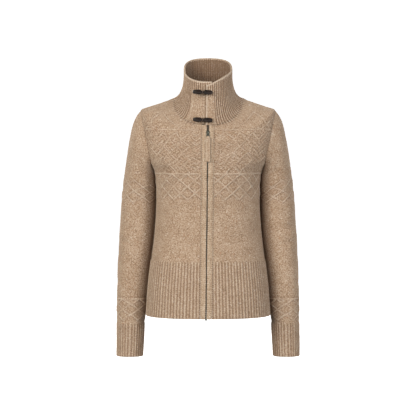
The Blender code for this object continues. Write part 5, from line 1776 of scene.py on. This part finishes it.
gunmetal, tree, shader = new_material("gunmetal_plated_zinc", Roughness=0.36, Metallic=1.0)
here = add(tree, "TexCoord").outputs["Object"]
patina = add(tree, "TexNoise", {"Scale": 420.0, "Detail": 3.0}, {"Vector": here})
tone = add(tree, "ValToRGB", links={"Fac": patina.outputs["Fac"]})
tone.color_ramp.elements[0].position = 0.35
tone.color_ramp.elements[0].color = linear("#302E28")
tone.color_ramp.elements[1].position = 0.75
tone.color_ramp.elements[1].color = linear("#74766A")
dull = add(tree, "MapRange", {"To Min": 0.28, "To Max": 0.5}, {"Value": patina.outputs["Fac"]})
cast = add(tree, "Bump", {"Strength": 0.25, "Distance": 0.05 * MM}, {"Height": patina.outputs["Fac"]})
tree.links.new(tone.outputs["Color"], shader.inputs["Base Color"])
tree.links.new(dull.outputs["Result"], shader.inputs["Roughness"])
tree.links.new(cast.outputs["Normal"], shader.inputs["Normal"])
print("zip materials:", woven_tape.name, gunmetal.name)

# %% [markdown]
# A zip's two rows of teeth sit on a cord along each tape's edge. A tooth has a foot that grips the
# cord, a waist and a head, and the heads of one row drop into the gaps of the other, half a pitch
# along. Above the slider the rows stand apart. One tooth's outline is written once and a loop
# sets it about 180 times on each side.

# %% Zip teeth
CHAIN_DEPTH = (1.2, 4.0)
STOP_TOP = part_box("zip_end")[1][2] / MM
TOOTH_PITCH = 2.6
TOOTH = ((2.1, 0.55), (1.1, 0.5), (0.5, 0.34), (-0.1, 0.56), (-0.55, 0.36))  # across, half height
TOOTH_OPEN = 0.95  # an open row stands this much further out


def add_tooth(wall, side, z, shift):
    """A tooth: its outline given a front and a back with bevelled rims."""
    outline = [(a + shift, b) for a, b in TOOTH] + [(a + shift, -b) for a, b in reversed(TOOTH)]
    middle = np.mean(outline, axis=0)
    front, rear = CHAIN_DEPTH
    rings = []
    for depth, size in ((front, 0.8), (front + 0.3, 1.0), (rear - 0.3, 1.0), (rear, 0.8)):
        spot = middle + (np.array(outline) - middle) * size
        rings.append((spot[:, 0] * side, z + spot[:, 1], np.full(len(spot), -depth)))
    away, high, out = (np.array(part) for part in zip(*rings))
    add_tube(wall, beside_zip(away, high, out))


def make_teeth(name, side_list, top, foot, shift):
    """Rows of teeth on one side or both, from top down to foot."""
    wall = Wall()
    count = 0
    for side in side_list:
        start = top - TOOTH_PITCH / 2 * (side > 0)
        for z in np.arange(start, foot, -TOOTH_PITCH):
            add_tooth(wall, side, z, shift)
            count += 1
    print(name, "has", count, "teeth")
    return wall.make(name, gunmetal)


print("a tooth every", TOOTH_PITCH, "mm down to the stop at", round(STOP_TOP, 1))

# %% [markdown]
# The tape is woven 11 mm wide and flat, with a round cord along its inner edge for the teeth to
# grip. The slider and the bottom stop are hard, so their solids are kept and only bevelled.

# %% Tape, slider and stop
TAPE = (2.4, 13.5)  # from the zip's line
TAPE_DEPTH = (3.9, 4.7)  # behind the fronts' face
CORD_AWAY = 1.55
CORD_DEPTH = 3.3
CORD_RADIUS = 1.2


def make_tape(side, word):
    """The woven tape, with the cord along its inner edge."""
    wall = Wall()
    near_edge, far_edge = TAPE
    front, rear = TAPE_DEPTH
    a, b = superellipse(24, (far_edge - near_edge) / 2, (rear - front) / 2, 5.0)
    heights = np.linspace(BINDING_START - 0.4, HEM + 1, 160)
    away, z = np.broadcast_arrays((near_edge + far_edge) / 2 + a, heights[:, None])
    add_tube(wall, beside_zip(away * side, z, b - (front + rear) / 2 + 0 * z))
    aside = np.full(len(heights), CORD_AWAY * side)
    line = beside_zip(aside, heights, np.full(len(heights), -CORD_DEPTH))
    add_tube(wall, tube_rings(line, CORD_RADIUS, 8))
    return wall.make(f"woven_tape_{word}", woven_tape)


def bevelled(node, name, width):
    """A copy of a hard metal solid's mesh with rounded edges."""
    mesh = frame["nodes"][node].data.copy()
    mesh.name = name
    shape = bmesh.new()
    shape.from_mesh(mesh)
    bmesh.ops.remove_doubles(shape, verts=shape.verts, dist=1e-6)
    bmesh.ops.dissolve_limit(shape, angle_limit=math.radians(1), verts=shape.verts, edges=shape.edges)
    sharp = [edge for edge in shape.edges if edge.calc_face_angle(0.0) > math.radians(30)]
    bmesh.ops.bevel(shape, geom=sharp, offset=width * MM, segments=2, affect="EDGES", clamp_overlap=True)
    shape.to_mesh(mesh)
    shape.free()
    mesh.materials.clear()
    mesh.materials.append(gunmetal)
    mesh.shade_smooth()
    mesh.set_sharp_from_angle(angle=math.radians(50))
    print(name, "faces:", len(mesh.polygons))
    return add_object(name, mesh)


closed_teeth = make_teeth("zip_teeth", (-1, 1), SLIDER_Z - 1.3, STOP_TOP, 0.0)
TRIMS.append((closed_teeth, SHIRT, "dark_metal", ["zip_chain"]))
for side, word in SIDES:
    row = make_teeth(f"open_teeth_{word}", (side,), ZIP_TOP - 2, SLIDER_Z + 0.8, TOOTH_OPEN)
    TRIMS.append((row, SHIRT, "dark_metal", [f"zip_open_{word}"]))
    TRIMS.append((make_tape(side, word), SHIRT, "zip_tape", [f"tape_{word}"]))
TRIMS.append((bevelled("slider", "zip_slider", 0.35), SHIRT, "dark_metal", ["slider"]))
TRIMS.append((bevelled("zip_end", "zip_stop", 0.5), SHIRT, "dark_metal", ["zip_end"]))

# %% [markdown]
# The slider's pull is a wire link with a knitted tab on it. Both swing on the slider, so they ride
# on the zip_pull body. The joint gives the pivot, and the tab's solid gives the way it hangs.

# %% Pull link
LINK_WIRE = 1.2
LINK_SIZE = (8.0, 8.4)
LINK_CORNER = 1.7
STRIP_SIZE = (12.6, 66.0, 3.2)
STRIP_GAP = 0.3

pivot = np.array(frame["joints"][0]["pos_m"]) / MM
low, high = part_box("pull_strip")
tab_middle = (np.array(low) + np.array(high)) / 2 / MM
pull_up = pivot - tab_middle
pull_up[0] = 0.0
pull_up = unit(pull_up)
pull_across = np.array((1.0, 0.0, 0.0))
pull_out = np.cross(pull_across, pull_up)


def on_pull(across, out, up):
    """A point beside the pivot, from its distances across, out of the cloth and up the pull."""
    spot = np.stack(np.broadcast_arrays(across, out, up), axis=-1)
    return pivot + spot @ np.array((pull_across, pull_out, pull_up))


def make_link():
    """A closed wire link with rounded corners, its crossbar on the pivot."""
    half = (LINK_SIZE[0] - LINK_WIRE) / 2
    long = LINK_SIZE[1] - LINK_WIRE
    path = []
    for x, up, start in ((half, 0.0, 0), (half, -long, -90), (-half, -long, -180), (-half, 0.0, -270)):
        centre_x = x - math.copysign(LINK_CORNER, x)
        centre_up = up - LINK_CORNER if up == 0 else up + LINK_CORNER
        for turn in np.radians(np.linspace(start + 90, start, 7)):
            path.append((centre_x + LINK_CORNER * math.cos(turn), centre_up + LINK_CORNER * math.sin(turn)))
    x, up = np.array(path).T
    wall = Wall()
    add_loop(wall, tube_rings(on_pull(x, 0.0, up), LINK_WIRE / 2, 10, closed=True))
    return wall.make("pull_wire", gunmetal)


print("pull's way up:", pull_up.round(3).tolist())

# %% [markdown]
# The tab is three columns of knitting with rounded ends, folded round the link's lower bar. Its
# edges are scalloped by their stitches, and it bends a little to one side, as knitting does.

# %% Pull tab
TAB_COLUMN = 4.2  # width of one column of its stitches
TAB_STITCH = 3.6
TAB_END = 2.6  # length over which its ends round off
FOLD_SIZE = (2.6, 0.55)  # half the width and thickness of the fold round the bar
FOLD_GAP = 0.65  # from the wire to the fold's middle


def make_tab():
    """The knitted tab, with the fold that holds it on the link."""
    wide, long, thick = STRIP_SIZE
    start = LINK_WIRE / 2 - LINK_SIZE[1] - STRIP_GAP
    share = np.concatenate(([0, 0.004, 0.012, 0.03], np.linspace(0.05, 0.95, 56), [0.97, 0.988, 0.996, 1.0]))
    a, b = superellipse(40, wide / 2, thick / 2, 3.6)
    down = np.broadcast_to(share[:, None] * long, (len(share), len(a)))
    to_end = 1 - np.minimum(down, long - down) / TAB_END
    end = np.sqrt(1 - np.clip(to_end, 0, 1) ** 2) * 0.45 + 0.55
    taper = 0.86 + 0.14 * ease(down / 9) - 0.06 * ease((down - long + 8) / 8)
    edge = ease((np.abs(a) - 4.5) / 1.5)
    scallop = 0.22 * np.cos(2 * math.pi * down / TAB_STITCH) * edge
    columns_of_knit = 0.28 * np.cos(2 * math.pi * a / TAB_COLUMN) * (1 - edge)
    x = a * end * taper + scallop * np.sign(a) + 0.25 * np.sin(down / 14)
    out = b * (0.35 + 0.65 * end) + columns_of_knit * np.sign(b) * end
    wall = Wall()
    # painted light and shade: the columns' crests lighter, the grooves between them darker
    add_tube(wall, on_pull(x, out, start - down), np.clip(columns_of_knit * 2.4 - 0.1, -1, 1))
    turns = np.linspace(0, 2 * math.pi, 20, endpoint=False)[:, None]
    fold_x, fold_r = superellipse(12, *FOLD_SIZE, 3.0)
    radius = LINK_WIRE / 2 + FOLD_GAP + fold_r
    bar = LINK_WIRE - LINK_SIZE[1]
    add_loop(wall, on_pull(fold_x, radius * np.cos(turns), bar + radius * np.sin(turns)))
    return wall.make("knit_pull_tab", binding_wool)


TRIMS.append((make_link(), PULL, "dark_metal", ["pull_link"]))
pull_tab = make_tab()
TRIMS.append((pull_tab, PULL, "oatmeal_wool", ["pull_strip"]))

# %% [markdown]
# The toggles are turned from dark horn: two tapered halves cut with flutes, and a waist where the
# cord loop holds them. Horn is layered keratin with an IOR of 1.56. It is polished, nearly black, and
# shows brown streaks along its length. The loop is waxed cord, two plies twisted together.

# %% Horn and cord
horn, tree, shader = new_material("polished_dark_horn", Roughness=0.34, IOR=1.56)
shader.inputs["Specular IOR Level"].default_value = 0.14
here = add(tree, "TexCoord").outputs["Object"]
grain_space = add(tree, "VectorMath", {1: (90.0, 700.0, 700.0)}, {0: here}, operation="MULTIPLY")
grain = add(tree, "TexNoise", {"Scale": 1.0, "Detail": 3.0}, {"Vector": grain_space.outputs[0]})
streaks = add(tree, "ValToRGB", links={"Fac": grain.outputs["Fac"]})
streaks.color_ramp.elements[0].position = 0.4
streaks.color_ramp.elements[0].color = linear("#0B0705")
streaks.color_ramp.elements[1].position = 0.72
streaks.color_ramp.elements[1].color = linear("#2B1C13")
carved = add(tree, "Bump", {"Strength": 0.15, "Distance": 0.1 * MM}, {"Height": grain.outputs["Fac"]})
tree.links.new(streaks.outputs["Color"], shader.inputs["Base Color"])
tree.links.new(carved.outputs["Normal"], shader.inputs["Normal"])

waxed_cord, tree, shader = new_material("waxed_cotton_cord", Roughness=0.6, IOR=1.5)
here = add(tree, "TexCoord").outputs["Object"]
lint = add(tree, "TexNoise", {"Scale": 900.0, "Detail": 2.0}, {"Vector": here})
dye = add(tree, "ValToRGB", links={"Fac": lint.outputs["Fac"]})
dye.color_ramp.elements[0].color = linear("#1F1610")
dye.color_ramp.elements[1].color = linear("#4B382A")
fibres = add(tree, "Bump", {"Strength": 0.4, "Distance": 0.1 * MM}, {"Height": lint.outputs["Fac"]})
tree.links.new(dye.outputs["Color"], shader.inputs["Base Color"])
tree.links.new(fibres.outputs["Normal"], shader.inputs["Normal"])
print("toggle materials:", horn.name, waxed_cord.name)

# %% [markdown]
# A toggle is turned and takes its place from its solid's box. Its loop goes once round the waist,
# and two plies that turn about its path give the twist.

# %% Toggles
TOGGLE_PROFILE = (  # along the toggle, and radius
    (-25.0, 3.1),
    (-23.0, 4.5),
    (-13.0, 6.1),
    (-6.0, 5.7),
    (-2.2, 3.2),
    (0.0, 3.0),
    (2.2, 3.2),
    (6.0, 5.7),
    (13.0, 6.1),
    (23.0, 4.5),
    (25.0, 3.1),
)
TOGGLE_TILT = math.radians(-2.5)  # its right end lower
TOGGLE_FLUTES = 9
FLUTE_DEPTH = 0.1
TOGGLE_END = 1.1  # length over which its ends round off
LOOP_RADIUS = 4.5  # of the cord's bend round the waist
PLY_RADIUS = 0.55
PLY_AWAY = 0.48  # from the middle of the cord to the middle of a ply
PLY_PITCH = 3.6

toggle_along = np.array((math.cos(TOGGLE_TILT), 0.0, math.sin(TOGGLE_TILT)))
toggle_rise = np.array((-math.sin(TOGGLE_TILT), 0.0, math.cos(TOGGLE_TILT)))
toggle_out = np.array((0.0, -1.0, 0.0))


def toggle_centre(word):
    """The middle of a toggle. In depth it is one radius behind the front of the solid's box."""
    low, high = (np.array(corner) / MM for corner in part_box(f"toggle_{word}"))
    centre = (low + high) / 2
    centre[1] = low[1] + max(radius for _, radius in TOGGLE_PROFILE)
    return centre


def make_toggle(word):
    """A toggle where its solid lies."""
    s, radius = np.array(TOGGLE_PROFILE).T
    half = s[-1]
    ends = np.linspace(0, TOGGLE_END, 8)
    places = np.unique(np.concatenate((np.linspace(-half, half, 110), half - ends, ends - half)))
    from_middle = np.abs(places)
    turns = np.linspace(0, 2 * math.pi, TOGGLE_FLUTES * 6, endpoint=False)
    past = np.clip((from_middle - half + TOGGLE_END) / TOGGLE_END, 0, 1)
    size = curve(places, s, radius) * np.sqrt(1 - 0.97 * past**2)
    cut = ease((from_middle - 3.2) / 2.4) * ease((half - 1.2 - from_middle) / 2)
    flutes = 1 - FLUTE_DEPTH * cut[:, None] * (0.5 - 0.5 * np.cos(TOGGLE_FLUTES * turns)) ** 0.6
    reach = (size[:, None] * flutes)[..., None]
    spokes = np.cos(turns)[:, None] * toggle_out + np.sin(turns)[:, None] * toggle_rise
    wall = Wall()
    add_tube(wall, toggle_centre(word) + places[:, None, None] * toggle_along + reach * spokes)
    return wall.make(f"horn_toggle_{word}", horn)


def make_cord_loop(word):
    """The cord round a toggle's waist, from the collar and back to it."""
    centre = toggle_centre(word)
    root = centre[1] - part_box(f"loop_{word}")[1][1] / MM
    bend = np.linspace(0, math.pi, 30)
    straight = np.linspace(root, 0, 8)[:-1]
    beside = np.full(len(straight), LOOP_RADIUS)
    out = np.concatenate((straight, LOOP_RADIUS * np.sin(bend), straight[::-1]))
    up = np.concatenate((beside, LOOP_RADIUS * np.cos(bend), -beside))
    path = centre + out[:, None] * toggle_out + up[:, None] * toggle_rise
    inward = np.cross(unit(np.gradient(path, axis=0)), toggle_along)
    twist = 2 * math.pi * lengths_along(path)[:, None] / PLY_PITCH
    wall = Wall()
    for start in (0.0, math.pi):
        away = np.cos(start + twist) * inward + np.sin(start + twist) * toggle_along
        add_tube(wall, tube_rings(path + PLY_AWAY * away, PLY_RADIUS, 7))
    return wall.make(f"cord_loop_{word}", waxed_cord)


for word in ("upper", "lower"):
    TRIMS.append((make_toggle(word), SHIRT, "dark_horn", [f"toggle_{word}"]))
    TRIMS.append((make_cord_loop(word), SHIRT, "brown_cord", [f"loop_{word}"]))

# %% [markdown]
# A trim rides on the body that its solid belongs to and stands in for its solid, which is hidden.
# The bindings and tapes are strips as long as the zip, and the tab lies on its wire link.

for piece, body, slot, nodes in TRIMS:
    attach(piece, body)
    if nodes:
        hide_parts(*nodes)
print("trims:", len(TRIMS))

# %% [markdown]
# The knitted pieces hang from the shoulders, all on one body, because cloth has no joints, and
# each stands in for its solid, which is hidden. Each one's flat size is measured from its unrolled
# face: what a knitter would knit to, with the seams' few millimetres left out.

for node, piece in PIECES.items():
    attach(piece, SHIRT)
    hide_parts(node)

# %% [markdown]
# Last, the scene is brought up to date.

# %% Finish
bpy.context.view_layer.update()
